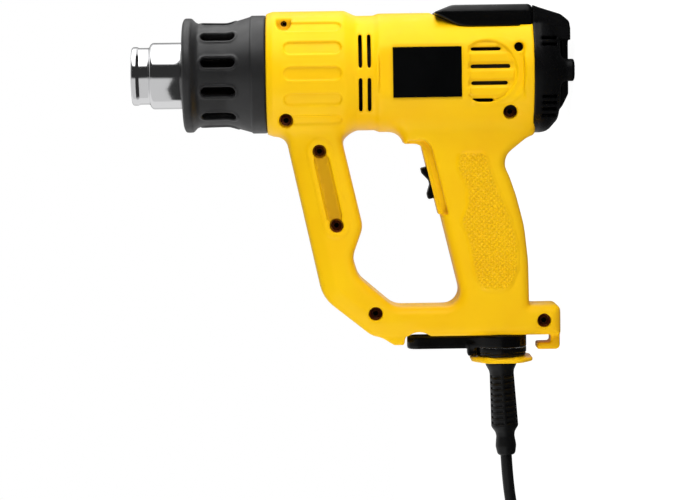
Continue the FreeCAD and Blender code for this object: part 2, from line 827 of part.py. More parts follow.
plate_blank = box("plate_blank", (-s.switch_plate_length / 2, -s.switch_plate_width / 2,
                                  -s.switch_plate_sink),
                  (s.switch_plate_length, s.switch_plate_width, s.switch_plate_thickness))
plate_window = box("plate_window", (-well_length / 2 - plate_shift, -well_width / 2,
                                    -s.switch_body_floor),
                   (well_length, well_width, s.switch_body_floor * 2))
keep("switch_plate", cut("switch_plate", plate_blank, [plate_window]), plate_place)
plate_pocket = box("plate_pocket", (-s.switch_plate_length / 2 - s.seat_gap,
                                    -s.switch_plate_width / 2 - s.seat_gap, -s.switch_plate_sink),
                   (s.switch_plate_length + s.seat_gap * 2, s.switch_plate_width + s.seat_gap * 2,
                    s.switch_plate_thickness * 3))
plate_hole = join("plate_hole", [plate_pocket, box(
    "plate_hole_back", (-s.switch_plate_length / 2 + 2, -s.switch_plate_width / 2 + 2,
                        -s.switch_plate_sink - 1),
    (s.switch_plate_length - 4, s.switch_plate_width - 4, s.switch_plate_sink + 1))])
plate_hole.Placement = plate_place
switch_hole = join("switch_hole", [
    box("switch_pass", (-s.switch_body_length / 2 - body_gap, -s.switch_body_width / 2 - body_gap,
                        switch_top - s.switch_body_depth - body_gap),
        (s.switch_body_length + body_gap * 2, s.switch_body_width + body_gap * 2,
         s.switch_body_depth + body_gap * 2)),
    box("switch_mouth", (-s.switch_body_length / 2 - body_gap, -s.switch_body_width / 2 - body_gap,
                         switch_top - 1),
        (s.switch_body_length + body_gap * 2, s.switch_body_width + body_gap * 2, 1.5)),
])
switch_hole.Placement = switch_place
openings += [plate_hole, switch_hole]

# bore of the gland post
openings.append(cylinder("gland_bore", s.post_bore + s.pin_clearance, s.base_bottom,
                         (-s.base_top - wall, 0, s.gland_along), "-X"))

shell = cut("shell", skin, [barrel_room, grip_room, strut_room, base_room, heel_room])
shell_bossed = join("shell_bossed", [shell, bosses_in_skin, post])
housing = cut("housing", shell_bossed, openings)
whole = s.nozzle_tip * 2
half_left = box("half_left", (-whole / 2, 0, -whole / 4), (whole, whole, whole))
half_right = box("half_right", (-whole / 2, -whole, -whole / 4), (whole, whole, whole))
keep("housing_left", cut("housing_left", housing, [half_left]))
keep("housing_right", cut("housing_right", housing, [half_right]))

# ---------------------------------------------------------------- nose collar and nozzle
waist_back = s.barrel_front + s.collar_band_length + s.collar_flare_length
rim_back = s.collar_front - s.collar_rim_length
mouth = s.tube_radius + s.collar_mouth_gap
collar = turned("nose_collar", [
    (mouth, s.collar_front),
    (s.collar_rim_radius, s.collar_front),
    (s.collar_rim_radius, rim_back),
    (s.collar_waist_radius, rim_back - s.collar_wall * 0.4),
    (s.collar_waist_radius, waist_back),
    (s.collar_band_radius, s.barrel_front + s.collar_band_length),
    (s.collar_band_radius, s.barrel_front),
    (room_radius - s.seat_gap, s.barrel_front),
    (room_radius - s.seat_gap, s.barrel_front - s.collar_spigot_length),
    (room_radius - s.seat_gap - s.collar_wall, s.barrel_front - s.collar_spigot_length),
    (s.collar_waist_radius - s.collar_wall, s.barrel_front + s.collar_band_length),
    (s.collar_waist_radius - s.collar_wall, rim_back - s.collar_wall),
    (s.collar_waist_radius - s.collar_wall, s.collar_front - s.collar_lip_length),
    (mouth, s.collar_front - s.collar_lip_length),
])


def rim_circle(edge):
    """Pick the outer circles of the collar's front rim and rear band."""
    bounds = edge.BoundBox
    if bounds.ZLength > 0.01:
        return False
    outer = bounds.XMax
    return abs(outer - float(s.collar_rim_radius)) < 0.01 or abs(outer - float(s.collar_band_radius)) < 0.01


round_edges(collar, "Fillet", 2.2, rim_circle)
slot_half = s.collar_slot_width / 2
slot_end = s.collar_slot_start + s.collar_slot_length
slot_sketch = sketch_on(collar, "XZ", s.collar_waist_radius - s.collar_wall * 2, [[
    (-slot_half, s.collar_slot_start + slot_half * 0.8),
    (-slot_half * 0.5, s.collar_slot_start),
    (slot_half * 0.5, s.collar_slot_start),
    (slot_half, s.collar_slot_start + slot_half * 0.8),
    (slot_half, slot_end - slot_half * 0.8),
    (slot_half * 0.5, slot_end),
    (-slot_half * 0.5, slot_end),
    (-slot_half, slot_end - slot_half * 0.8),
]])
solid_volume = collar.Shape.Volume
slot_pocket = collar.newObject("PartDesign::Pocket", "collar_slot")
slot_pocket.Profile = slot_sketch
bind(slot_pocket, "Length", s.collar_wall * 4)
slot_pocket.Reversed = True
slot_ring = collar.newObject("PartDesign::PolarPattern", "collar_slots")
slot_ring.Originals = [slot_pocket]
slot_axis = next(item for item in collar.Origin.OriginFeatures if item.Role == "Z_Axis")
slot_ring.Axis = (slot_axis, [""])
slot_ring.Angle = 360
bind(slot_ring, "Occurrences", s.collar_slot_count)
collar.Tip = slot_ring
doc.recompute()
if solid_volume - collar.Shape.Volume < 100:
    raise ValueError("nose_collar: the slots do not cut")
keep("nose_collar", collar,
     FreeCAD.Placement(vector(), FreeCAD.Rotation(vector(0, 0, 1), CELLS["collar_turn"])))

lip_start = s.nozzle_tip - s.lip_length
bore_radius = s.lip_radius - s.tube_wall
inner_radius = s.tube_radius - s.tube_wall
keep("nozzle_tube", turned("nozzle_tube", [
    (inner_radius, s.tube_root),
    (room_radius - s.seat_gap, s.tube_root),
    (room_radius - s.seat_gap, s.tube_root + s.flange_thickness),
    (s.tube_radius, s.tube_root + s.flange_thickness),
    (s.tube_radius, lip_start - s.step_length),
    (s.lip_radius, lip_start),
    (s.lip_radius, s.nozzle_tip),
    (bore_radius, s.nozzle_tip),
    (bore_radius, lip_start - s.step_length * 0.3),
    (inner_radius, lip_start - s.step_length * 1.3),
]))

# ---------------------------------------------------------------- heater
liner_radius = inner_radius - s.seat_gap
heater_end = s.heater_back + s.heater_length
keep("mica_sleeve", turned("mica_sleeve", [
    (liner_radius - s.liner_wall, s.liner_back),
    (liner_radius, s.liner_back),
    (liner_radius, heater_end + 1),
    (liner_radius - s.liner_wall, heater_end + 1),
]))
core_radius = liner_radius - s.liner_wall - s.seat_gap
core_blank = turned("core_blank", [
    (0, s.heater_back), (core_radius, s.heater_back), (core_radius, heater_end), (0, heater_end),
])
core_holes = []
elements = []
rings = ((s.heater_inner_circle, 6), (s.heater_outer_circle, 12))
for circle, count in rings:
    for index in range(count):
        turn = math.radians(360.0 * index / count)
        across = circle * math.cos(turn)
        aside = circle * math.sin(turn)
        label = f"{count}_{index}"
        core_holes.append(cylinder(f"core_hole_{label}", s.heater_hole_radius, s.heater_length + 2,
                                   (across, aside, s.heater_back - 1)))
        elements.append(cylinder(f"element_{label}", s.element_radius, s.heater_length - 4,
                                 (across, aside, s.heater_back + 2)))
        foot = box(f"element_foot_{label}",
                   (across - s.element_radius * 0.3, aside - s.heater_hole_radius * 0.95,
                    s.heater_back + 2),
                   (s.element_radius * 0.6, s.heater_hole_radius * 1.9, s.element_radius))
        elements[-1] = join(f"wire_{label}", [elements[-1], foot])
keep("heater_core", cut("heater_core", core_blank, core_holes))
keep("heater_wires", group("heater_wires", elements))
keep("thermal_cutout", join("thermal_cutout", [
    box("cutout_case", (-s.cutout_width / 2, -s.cutout_thickness / 2, s.heater_back - s.cutout_length),
        (s.cutout_width, s.cutout_thickness, s.cutout_length)),
    cylinder("cutout_stud", s.shaft_radius, 3, (0, 0, s.heater_back - s.cutout_length - 3)),
]))

# ---------------------------------------------------------------- motor, fan and air duct
motor_front = s.motor_back + s.motor_length
keep("motor_can", turned("motor_can", [
    (s.shaft_radius + s.shaft_clearance, s.motor_back - s.boss_length),
    (s.boss_radius, s.motor_back - s.boss_length),
    (s.boss_radius, s.motor_back),
    (s.motor_radius - 1, s.motor_back),
    (s.motor_radius, s.motor_back + 1),
    (s.motor_radius, motor_front),
    (s.boss_radius, motor_front),
    (s.boss_radius, motor_front + s.boss_length),
    (s.shaft_radius + s.shaft_clearance, motor_front + s.boss_length),
]))
shaft_back = s.motor_back - s.boss_length + 1
keep("motor_shaft", turned("motor_shaft", [
    (0, shaft_back), (s.shaft_radius, shaft_back),
    (s.shaft_radius, s.fan_back + s.fan_length + 1), (0, s.fan_back + s.fan_length + 1),
]))
duct_radius = s.fan_radius + s.fan_gap
mount_hub = s.motor_radius + s.seat_gap
mount_blank = turned("mount_blank", [
    (mount_hub, motor_front - s.mount_thickness * 2),
    (mount_hub + s.duct_wall, motor_front - s.mount_thickness * 2),
    (mount_hub + s.duct_wall, motor_front - s.mount_thickness),
    (room_radius - s.seat_gap, motor_front - s.mount_thickness),
    (room_radius - s.seat_gap, motor_front),
    (mount_hub, motor_front),
])
mount_circle = (mount_hub + s.duct_wall + room_radius) / 2
mount_holes = []
for index in range(int(CELLS["mount_hole_count"])):
    turn = math.radians(360.0 * (index + 0.5) / CELLS["mount_hole_count"])
    mount_holes.append(cylinder(f"mount_hole_{index}", s.mount_hole_radius, s.mount_thickness * 3,
                                (mount_circle * math.cos(turn), mount_circle * math.sin(turn),
                                 motor_front - s.mount_thickness * 2)))
keep("motor_mount", cut("motor_mount", mount_blank, mount_holes))

fan_disc = turned("fan_disc", [
    (s.shaft_radius, s.fan_back), (s.fan_radius, s.fan_back),
    (s.fan_radius, s.fan_back + s.fan_plate), (s.fan_hub_radius, s.fan_back + s.fan_plate),
    (s.fan_hub_radius, s.fan_back + s.fan_length), (s.shaft_radius, s.fan_back + s.fan_length),
])


def blade(name):
    return box(name, (s.fan_hub_radius - 0.5, -s.fan_blade_thickness / 2, s.fan_back + s.fan_plate / 2),
               (s.fan_radius - s.fan_hub_radius, s.fan_blade_thickness, s.fan_length - s.fan_plate / 2))


blades = []
for index in range(int(CELLS["fan_blade_count"])):
    holder = join(f"blade_turned_{index}", [blade(f"blade_{index}"), blade(f"blade_twin_{index}")])
    holder.Placement = FreeCAD.Placement(
        vector(), FreeCAD.Rotation(vector(0, 0, 1), 360.0 * index / CELLS["fan_blade_count"])
    )
    blades.append(holder)
keep("fan_wheel", join("fan_wheel", [fan_disc] + blades))
duct_back = motor_front + s.seat_gap
keep("air_duct", turned("air_duct", [
    (duct_radius, duct_back),
    (room_radius - s.seat_gap, duct_back),
    (room_radius - s.seat_gap, duct_back + s.duct_wall),
    (duct_radius + s.duct_wall * 0.6, duct_back + s.duct_wall * 2),
    (duct_radius + s.duct_wall * 0.6, s.duct_front),
    (inner_radius + s.duct_wall, s.tube_root - s.seat_gap),
    (inner_radius, s.tube_root - s.seat_gap),
    (duct_radius - s.duct_wall * 0.4, s.duct_front),
]))

# ---------------------------------------------------------------- tail cap
cap_join = s.barrel_back
panel_slope = math.degrees(math.atan2(float(s.panel_top - s.panel_foot), float(cap_join)))
cap_blank = turned("cap_blank", [
    (0, s.cap_back), (s.cap_radius, s.cap_back), (s.cap_radius, cap_join), (0, cap_join),
])
round_edges(cap_blank, "Fillet", s.cap_round, lambda edge: (
    edge.BoundBox.ZLength < 0.01 and abs(edge.BoundBox.ZMin - float(s.cap_back)) < 0.01
))
wedge = side_slab("wedge", [[
    (s.panel_seat, cap_join), (s.panel_top, cap_join), (s.panel_foot, 0), (s.panel_seat, 0),
]], s.cover_width)
spine = side_slab("spine", [[
    (-s.spine_toe_drop, cap_join / 2), (-s.spine_toe_drop, s.spine_toe_rise), (-s.spine_foot_drop, 0),
    (s.panel_foot - 1, 0), (s.panel_foot - 1, cap_join / 2),
]], s.spine_width)
feet = []
for side in (-1, 1):
    aside = s.foot_spread * side
    feet.append(cylinder(f"foot_{side + 1}", s.foot_radius, s.foot_flare_front - s.foot_end,
                         (0, aside, s.foot_end)))
    feet.append(cone(f"foot_flare_{side + 1}", s.foot_radius, s.foot_flare_radius,
                     s.foot_flare_front - s.foot_flare_back, (0, aside, s.foot_flare_back)))
cap_skin = join("cap_skin", [cap_blank, wedge, spine] + feet)
cap_room = turned("cap_room", [
    (0, s.cap_back + s.cap_wall), (s.cap_radius - s.cap_round, s.cap_back + s.cap_wall),
    (s.cap_radius - s.cap_wall, s.cap_back + s.cap_round), (s.cap_radius - s.cap_wall, cap_join + 1),
    (0, cap_join + 1),
])
intakes = []
for index in range(4):
    drop = s.intake_drop + s.intake_pitch * index
    for side, start in (("left", -s.cap_radius - s.intake_inner), ("right", s.intake_inner)):
        intakes.append(box(f"intake_{side}_{index}", (-drop - s.intake_height / 2, start,
                                                      s.cap_back + 1),
                           (s.intake_height, s.cap_radius, s.intake_length)))
        if index < 2:
            intakes.append(box(f"intake_top_{side}_{index}", (drop - s.intake_height / 2, start,
                                                              s.cap_back + 1),
                               (s.intake_height, s.cap_radius, s.intake_length)))

# the slanted panel: +Z out of it, +X down the slope towards the tail, from its upper edge
panel_place = FreeCAD.Placement(
    vector(float(s.panel_top), 0, float(cap_join)), FreeCAD.Rotation(vector(0, 1, 0), 90 + panel_slope)
)
screen_room = box("screen_room", (s.screen_rise - s.seat_gap, -s.screen_width / 2 - s.seat_gap,
                                  -s.screen_depth - s.lens_thickness),
                  (s.screen_height + s.seat_gap * 2, s.screen_width + s.seat_gap * 2,
                   s.screen_depth * 4))
button_centre = s.screen_rise + s.screen_height + s.button_set_back
panel_tools = [screen_room]
for side, name in ((-1, "minus"), (1, "plus")):
    aside = s.button_spread * side
    gap = s.button_clearance
    well = box(f"button_well_{name}", (button_centre - s.button_height / 2 - gap,
                                       aside - s.button_width / 2 - gap,
                                       -s.button_depth - s.button_flange),
               (s.button_height + gap * 2, s.button_width + gap * 2, s.button_depth * 4))
    panel_tools.append(well)
    cap_box = box(f"button_cap_{name}", (button_centre - s.button_height / 2,
                                         aside - s.button_width / 2,
                                         s.button_proud - s.button_depth),
                  (s.button_height, s.button_width, s.button_depth))
    stem = cylinder(f"button_stem_{name}", s.shaft_radius, s.button_depth,
                    (button_centre, aside, s.button_proud - s.button_depth - s.button_flange))
    keep(f"button_{name}", join(f"button_{name}", [cap_box, stem]), panel_place)
panel_cuts = join("panel_cuts", panel_tools)
panel_cuts.Placement = panel_place
keep("rear_cap", cut("rear_cap", cap_skin, [cap_room, panel_cuts] + intakes))
keep("lcd_panel", slab("lcd_panel", "XY", [[
    (s.screen_rise, -s.screen_width / 2), (s.screen_rise + s.screen_height, -s.screen_width / 2),
    (s.screen_rise + s.screen_height, s.screen_width / 2), (s.screen_rise, s.screen_width / 2),
]], -s.screen_depth - s.lens_thickness, s.screen_depth), panel_place)
keep("display_lens", slab("display_lens", "XY", [[
    (s.screen_rise, -s.screen_width / 2), (s.screen_rise + s.screen_height, -s.screen_width / 2),
    (s.screen_rise + s.screen_height, s.screen_width / 2), (s.screen_rise, s.screen_width / 2),
]], -s.lens_thickness, s.lens_thickness), panel_place)

# ---------------------------------------------------------------- top cover
cover_blank = side_slab("cover_blank", [[
    (s.cover_edge, cap_join + s.seat_gap),
    (s.cover_edge, s.cover_nose_foot),
    (s.cover_top - s.cover_nose_drop, s.cover_nose),
    (s.cover_top, s.cover_nose - s.cover_nose_length),
    (s.cover_top, cap_join + s.seat_gap + 1.5),
    (s.panel_top, cap_join + s.seat_gap),
]], s.cover_width)
round_edges(cover_blank, "Chamfer", s.cover_chamfer, lambda edge: (
    abs(abs(edge.BoundBox.YMin) - float(s.cover_width) / 2) < 0.01 and edge.BoundBox.YLength < 0.01
    and edge.BoundBox.XMin > float(s.cover_top) - 0.01
))
saddle = turned("saddle", [
    (0, cap_join - 1),
    (s.flare_radius + s.seat_gap, cap_join - 1),
    (s.flare_radius + s.seat_gap, s.flare_front - s.neck_step),
    (s.body_radius + s.seat_gap, s.flare_front + s.seat_gap),
    (s.body_radius + s.seat_gap, s.cover_nose + 5),
    (0, s.cover_nose + 5),
])
keep("control_cover", cut("control_cover", cover_blank, [saddle]))

# ---------------------------------------------------------------- stand, hanging ring, strain relief
# the gland frame: origin on the base's underside, +Z away from it, +X towards the nozzle
gland_place = FreeCAD.Placement(vector(-float(s.base_bottom), 0, float(s.gland_along)), TURNS["-X"])
hub_back = s.stand_gap + s.hub_thickness
stand_hub = turned("stand_hub", [
    (s.post_radius + s.collar_spigot_clearance, s.stand_gap), (s.hub_radius, s.stand_gap),
    (s.hub_radius, hub_back), (s.post_radius + s.collar_spigot_clearance, hub_back),
])
stand_tip = s.stand_reach - s.stand_width * 0.35
half_stand = s.stand_width / 2
stand_arm = slab("stand_arm", "XY", [[
    (s.post_radius + 2, -half_stand), (stand_tip, -half_stand), (s.stand_reach, -half_stand * 0.45),
    (s.stand_reach, half_stand * 0.45), (stand_tip, half_stand), (s.post_radius + 2, half_stand),
]], s.stand_gap, s.hub_thickness)
stand_rib = slab("stand_rib", "XY", [[
    (s.hub_radius + 1, -half_stand), (stand_tip, -half_stand), (s.stand_reach, -half_stand * 0.45),
    (s.stand_reach, half_stand * 0.45), (stand_tip, half_stand), (s.hub_radius + 1, half_stand),
]], s.stand_gap, s.stand_thickness)
keep("kickstand", join("kickstand", [stand_hub, stand_arm, stand_rib]), gland_place)

retainer_back = hub_back + s.stand_gap
retainer_front = retainer_back + s.retainer_thickness
ring_start = retainer_front + s.stand_gap
neck_end = ring_start + s.ring_thickness + s.stand_gap
bore = s.post_bore + s.pin_clearance
keep("stand_retainer", turned("stand_retainer", [
    (bore, retainer_back), (s.hub_radius, retainer_back),
    (s.hub_radius, retainer_front - s.retainer_lip),
    (s.hub_radius - s.retainer_lip, retainer_front),
    (s.neck_radius_low, retainer_front), (s.neck_radius_low, neck_end), (bore, neck_end),
]), gland_place)

ring_across = s.ring_half_width - s.ring_rim
ring_along = s.ring_half_length - s.ring_rim
ring_blank = slab("ring_blank", "XY", [[
    (s.ring_half_width, s.ring_half_length * 0.45), (s.ring_half_width * 0.55, s.ring_half_length),
    (-s.ring_half_width * 0.55, s.ring_half_length), (-s.ring_half_width, s.ring_half_length * 0.45),
    (-s.ring_half_width, -s.ring_half_length * 0.45), (-s.ring_half_width * 0.55, -s.ring_half_length),
    (s.ring_half_width * 0.55, -s.ring_half_length), (s.ring_half_width, -s.ring_half_length * 0.45),
]], ring_start, s.ring_thickness)
round_edges(ring_blank, "Fillet", 7, lambda edge: edge.BoundBox.ZLength > float(s.ring_thickness) * 0.9)
ring_windows = []
for side in (-1, 1):
    near = side * (s.ring_hub_radius + 1)
    far = side * ring_along
    ring_windows.append(slab(f"ring_window_{side + 1}", "XY", [[
        (-ring_across * 0.6, near), (ring_across * 0.6, near), (ring_across * 0.8, (near + far) / 2),
        (ring_across * 0.55, far), (-ring_across * 0.55, far), (-ring_across * 0.8, (near + far) / 2),
    ]], ring_start - 1, s.ring_thickness + 2))
ring_bore = cylinder("ring_bore", s.neck_radius_low + s.collar_spigot_clearance, s.ring_thickness + 2,
                     (0, 0, ring_start - 1))
keep("hang_ring", cut("hang_ring", ring_blank, ring_windows + [ring_bore]), gland_place)

head_end = neck_end + s.relief_head_length
relief_head = turned("relief_head", [
    (0, -s.handle_wall), (s.relief_shank_radius, -s.handle_wall), (s.relief_shank_radius, neck_end),
    (s.relief_head_radius, neck_end), (s.relief_head_radius, head_end - 1),
    (s.relief_radius, head_end), (0, head_end),
])
rib_outline = [(0, -1)]
groove_radius = s.relief_radius - s.relief_rib_depth
for index in range(int(CELLS["relief_rib_count"])):
    start = s.relief_rib_pitch * index
    rib_outline += [
        (groove_radius, start - (1 if index == 0 else 0)),
        (groove_radius, start + s.relief_rib_pitch * 0.4),
        (s.relief_radius, start + s.relief_rib_pitch * 0.5),
        (s.relief_radius, start + s.relief_rib_pitch * 0.9),
    ]
ribs_end = s.relief_rib_pitch * s.relief_rib_count
sleeve_start = ribs_end + s.relief_taper_length
relief_length = sleeve_start + s.relief_sleeve_length
rib_outline += [
    (s.relief_radius - 0.6, ribs_end), (s.relief_tail_radius, sleeve_start),
    (s.relief_tail_radius - 0.4, relief_length), (0, relief_length),
]
relief_ribs = turned("relief_ribs", rib_outline)
droop = FreeCAD.Rotation(vector(0, 1, 0), -float(s.relief_droop))
relief_ribs.Placement = FreeCAD.Placement(vector(0, 0, float(head_end)), droop)
bind(relief_ribs, "Placement.Base.z", head_end)
keep("strain_relief", join("strain_relief", [relief_head, relief_ribs]), gland_place)

# ---------------------------------------------------------------- electrics inside the handle
terminal_foot = s.terminal_drop + s.terminal_depth
keep("inner_cord", turned("inner_cord", [
    (0, -s.handle_wall), (s.cord_radius, -s.handle_wall),
    (s.cord_radius, terminal_foot + s.seat_gap - s.base_bottom),
    (0, terminal_foot + s.seat_gap - s.base_bottom),
]), gland_place)
clamp_blank = box("clamp_blank", (-s.clamp_width / 2, -s.clamp_length / 2,
                                  -s.handle_wall - s.seat_gap - s.clamp_thickness),
                  (s.clamp_width, s.clamp_length, s.clamp_thickness))
clamp_hole = cylinder("clamp_hole", s.cord_radius + s.seat_gap, s.clamp_thickness * 3,
                      (0, 0, -s.handle_wall - s.clamp_thickness * 2))
keep("cord_clamp", cut("cord_clamp", clamp_blank, [clamp_hole]), gland_place)
terminal_back = s.gland_along - s.cord_radius
terminal_blank = box("terminal_blank", (-terminal_foot, -room_width / 2 + s.seat_gap, terminal_back),
                     (s.terminal_depth, s.terminal_width, s.terminal_length))
terminal_slot = box("terminal_slot", (-s.terminal_drop - 2, -room_width / 2 + s.seat_gap + 3,
                                      terminal_back + 2),
                    (4, s.terminal_width, s.terminal_length / 3))
keep("terminal_block", cut("terminal_block", terminal_blank, [terminal_slot]))
lead_along = terminal_back + s.terminal_length - s.lead_radius * 3
switch_foot = switch_place.multVec(vector(-float(s.switch_body_length) / 2, 0, 0))
lead_slope = math.tan(math.radians(grip_slope))
lead_top = switch_foot.x + lead_slope * (switch_foot.z - float(lead_along) - float(s.lead_radius))
lead_gap = float(s.seat_gap) * 2
leads = []
for side in (-1, 1):
    leads.append(cylinder(f"lead_{side + 1}", s.lead_radius, lead_top - lead_gap + s.terminal_drop,
                          (-s.terminal_drop, s.lead_spread * side - s.lead_spread, lead_along), "X"))
keep("switch_leads", group("switch_leads", leads))

# ---------------------------------------------------------------- control board in the barrel
board_top = s.board_rise + s.board_thickness
keep("control_board", slab("control_board", "YZ", [[
    (-s.board_width / 2, s.board_back), (s.board_width / 2, s.board_back),
    (s.board_width / 2, s.board_back + s.board_length), (-s.board_width / 2, s.board_back + s.board_length),
]], s.board_rise, s.board_thickness))
sink_back = s.board_back + 4
fins = [box("sink_base", (board_top, -s.sink_width / 4, sink_back), (1.2, s.sink_width, s.sink_length))]
for index in range(4):
    fins.append(box(f"sink_fin_{index}", (board_top + 0.6, -s.sink_width / 4 + (s.sink_width - 1) / 3 * index,
                                          sink_back), (s.sink_height, 1, s.sink_length)))
keep("heat_sink", join("heat_sink", fins))
keep("capacitor", cut("capacitor", cylinder(
    "capacitor_case", s.capacitor_radius, s.capacitor_length,
    (board_top + s.capacitor_radius, -s.sink_width * 0.75, sink_back)), [cylinder(
        "capacitor_dimple", s.capacitor_radius / 2, 0.6,
        (board_top + s.capacitor_radius, -s.sink_width * 0.75, sink_back - 0.3))]))

# ---------------------------------------------------------------- standing on the tail
doc.recompute()
lean = math.degrees(math.atan2(
    float(s.heel_back - s.foot_end), float(s.hook_bottom - s.foot_radius)
))
stand = FreeCAD.Placement(vector(), FreeCAD.Rotation(vector(0, 1, 0), -lean))


def reach(node):
    """The box around one piece once the gun leans."""
    thing, place = pieces[node]
    shape = thing.Shape.copy()
    shape.Placement = stand.multiply(place).multiply(shape.Placement)
    return shape.optimalBoundingBox(False, False)


top = reach("control_cover").XMax
foot = reach("strain_relief").XMin
floor = min(reach("rear_cap").ZMin, reach("housing_left").ZMin)
stand = FreeCAD.Placement(vector(-(top + foot) / 2, 0, -floor), FreeCAD.Rotation(vector(0, 1, 0), -lean))
print(f"lean {lean:.3f} degrees, shift {stand.Base}")

# ---------------------------------------------------------------- free cord, coil and plug
relief_end = stand.multiply(gland_place).multiply(relief_ribs.Placement)
outlet = relief_end.multVec(vector(0, 0, float(relief_length)))
heading = relief_end.Rotation.multVec(vector(0, 0, 1))
print(f"cord leaves at {outlet}, heading {heading}")
cord_low = float(s.cord_radius) + 0.05
coil_inner = s.coil_radius - s.coil_width / 2
coil_outer = s.coil_radius + s.coil_width / 2
coil_x = outlet.x - float(s.coil_start) - float(coil_outer)
entry_y = -20.0
coil_y = entry_y + float(s.coil_radius)
route = [
    outlet,
    outlet + heading * 24,
    vector(outlet.x - 46, -2.0, outlet.z * 0.65 + cord_low * 0.35),
    vector(outlet.x - 67, -8.0, outlet.z * 0.27 + cord_low * 0.73),
    vector(outlet.x - 86, entry_y + 4, outlet.z * 0.03 + cord_low * 0.97),
    vector(coil_x + float(coil_outer) * 0.42, entry_y, cord_low),
]


def rounded_path(points):
    """Straight runs joined by tangent arcs, each as large as its two runs allow."""
    edges = []
    last = points[0]
    radii = []
    for before, corner, after in zip(points, points[1:], points[2:]):
        arriving = (corner - before).normalize()
        leaving = (after - corner).normalize()
        turn = arriving.getAngle(leaving)
        shorter = min((corner - before).Length, (after - corner).Length)
        radius = 0.45 * shorter / math.tan(turn / 2)
        tangent = 0.45 * shorter
        start = corner - arriving * tangent
        end = corner + leaving * tangent
        middle_axis = (leaving - arriving).normalize()
        centre = corner + middle_axis * math.hypot(radius, tangent)
        halfway = centre - middle_axis * radius
        edges.append(Part.LineSegment(last, start).toShape())
        edges.append(Part.Arc(start, halfway, end).toShape())
        radii.append(round(radius, 1))
        last = end
    edges.append(Part.LineSegment(last, points[-1]).toShape())
    return edges, radii


edges, radii = rounded_path(route)
path = Part.Wire(edges)
section = Part.Wire(Part.makeCircle(float(s.cord_radius), route[0], heading))
tube = path.makePipeShell([section], True, True)
exact = math.pi * float(s.cord_radius) ** 2 * path.Length
print(f"cord arcs {radii}, run {path.Length:.1f}, volume {tube.Volume:.0f} of {exact:.0f}")
if abs(tube.Volume / exact - 1) > 0.01:
    raise ValueError("cord: the sweep's volume is wrong")
print("cord points", [tuple(round(value, 3) for value in point) for point in route])
cord = doc.addObject("Part::Feature", "cord")
cord.Shape = tube

coil_place = FreeCAD.Placement(vector(coil_x, coil_y, 0), FreeCAD.Rotation())
soft = s.cord_radius * 0.6
coil = turned("cord_coil", [
    (coil_inner + soft, 0), (coil_outer - soft, 0), (coil_outer, soft), (coil_outer, s.coil_height - soft),
    (coil_outer - soft, s.coil_height), (coil_inner + soft, s.coil_height),
    (coil_inner, s.coil_height - soft), (coil_inner, soft),
])
tie = cut("coil_tie", box("tie_outer", (coil_inner - s.tie_thickness, -s.tie_width / 2, 0),
                          (s.coil_width + s.tie_thickness * 2, s.tie_width, s.coil_height + s.tie_thickness)),
          [box("tie_inner", (coil_inner, -s.tie_width, s.tie_thickness),
               (s.coil_width, s.tie_width * 2, s.coil_height - s.tie_thickness))])
tail_start = vector(coil_x - float(coil_outer) * 0.45, entry_y,
                    float(s.plug_thickness) / 2)
tail_place = FreeCAD.Placement(tail_start, TURNS["-X"])
tail_length = coil_outer * 0.25 + s.cord_end_run
cord_tail = turned("cord_tail", [
    (0, 0), (s.cord_radius, 0), (s.cord_radius, tail_length), (0, tail_length),
])
plug_boot = turned("plug_boot", [
    (0, tail_length), (s.cord_radius + 1, tail_length),
    (s.plug_boot_radius, tail_length + s.plug_boot_length),
    (0, tail_length + s.plug_boot_length),
])
plug_start = tail_length + s.plug_boot_length - 1
plug_end = plug_start + s.plug_length
half_plug = s.plug_width / 2
plug_block = slab("plug_block", "YZ", [[
    (-s.plug_boot_radius * 1.1, plug_start), (s.plug_boot_radius * 1.1, plug_start),
    (half_plug, plug_start + s.plug_length * 0.5), (half_plug, plug_end),
    (-half_plug, plug_end), (-half_plug, plug_start + s.plug_length * 0.5),
]], -s.plug_thickness / 2, s.plug_thickness)
round_edges(plug_block, "Fillet", 3, lambda edge: (
    edge.BoundBox.XLength < 0.01 and edge.BoundBox.ZMin < float(plug_end) - 0.1
))
plug_pins = []
for side in (-1, 1):
    plug_pins.append(cylinder(f"plug_pin_{side + 1}", s.plug_pin_radius, s.plug_pin_length,
                              (0, s.plug_pin_spacing / 2 * side, plug_end)))

# ---------------------------------------------------------------- places, checks and files
for node, (thing, place) in pieces.items():
    thing.Placement = stand.multiply(place)
keep("cord", cord)
keep("cord_coil", coil, coil_place)
keep("coil_tie", tie, coil_place)
keep("cord_tail", cord_tail, tail_place)
keep("plug_body", join("plug_body", [plug_boot, plug_block]), tail_place)
keep("plug_pins", group("plug_pins", plug_pins), tail_place)
for node in ("cord_coil", "coil_tie", "cord_tail", "plug_body", "plug_pins"):
    thing, place = pieces[node]
    thing.Placement = place
for node, (thing, place) in pieces.items():
    thing.Label = node
doc.recompute()

for thing in doc.Objects:
    if "Invalid" in thing.State or "Error" in thing.State:
        raise ValueError(f"{thing.Label} has failed: {thing.State}")
os.makedirs("parts", exist_ok=True)
for node, (thing, place) in pieces.items():
    shape = thing.Shape
    if shape.isNull() or not shape.isValid() or not shape.Solids:
        raise ValueError(f"{node} is not a valid solid")
    print(f"{node}: {len(shape.Solids)} solids, {shape.Volume:.0f} mm3")
    shape.exportStep(f"parts/{node}.step")
print(f"{len(pieces)} pieces")
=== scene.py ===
import math
import bpy
import bmesh
import numpy as np
import openvdb as vdb
from mathutils import Matrix, Vector


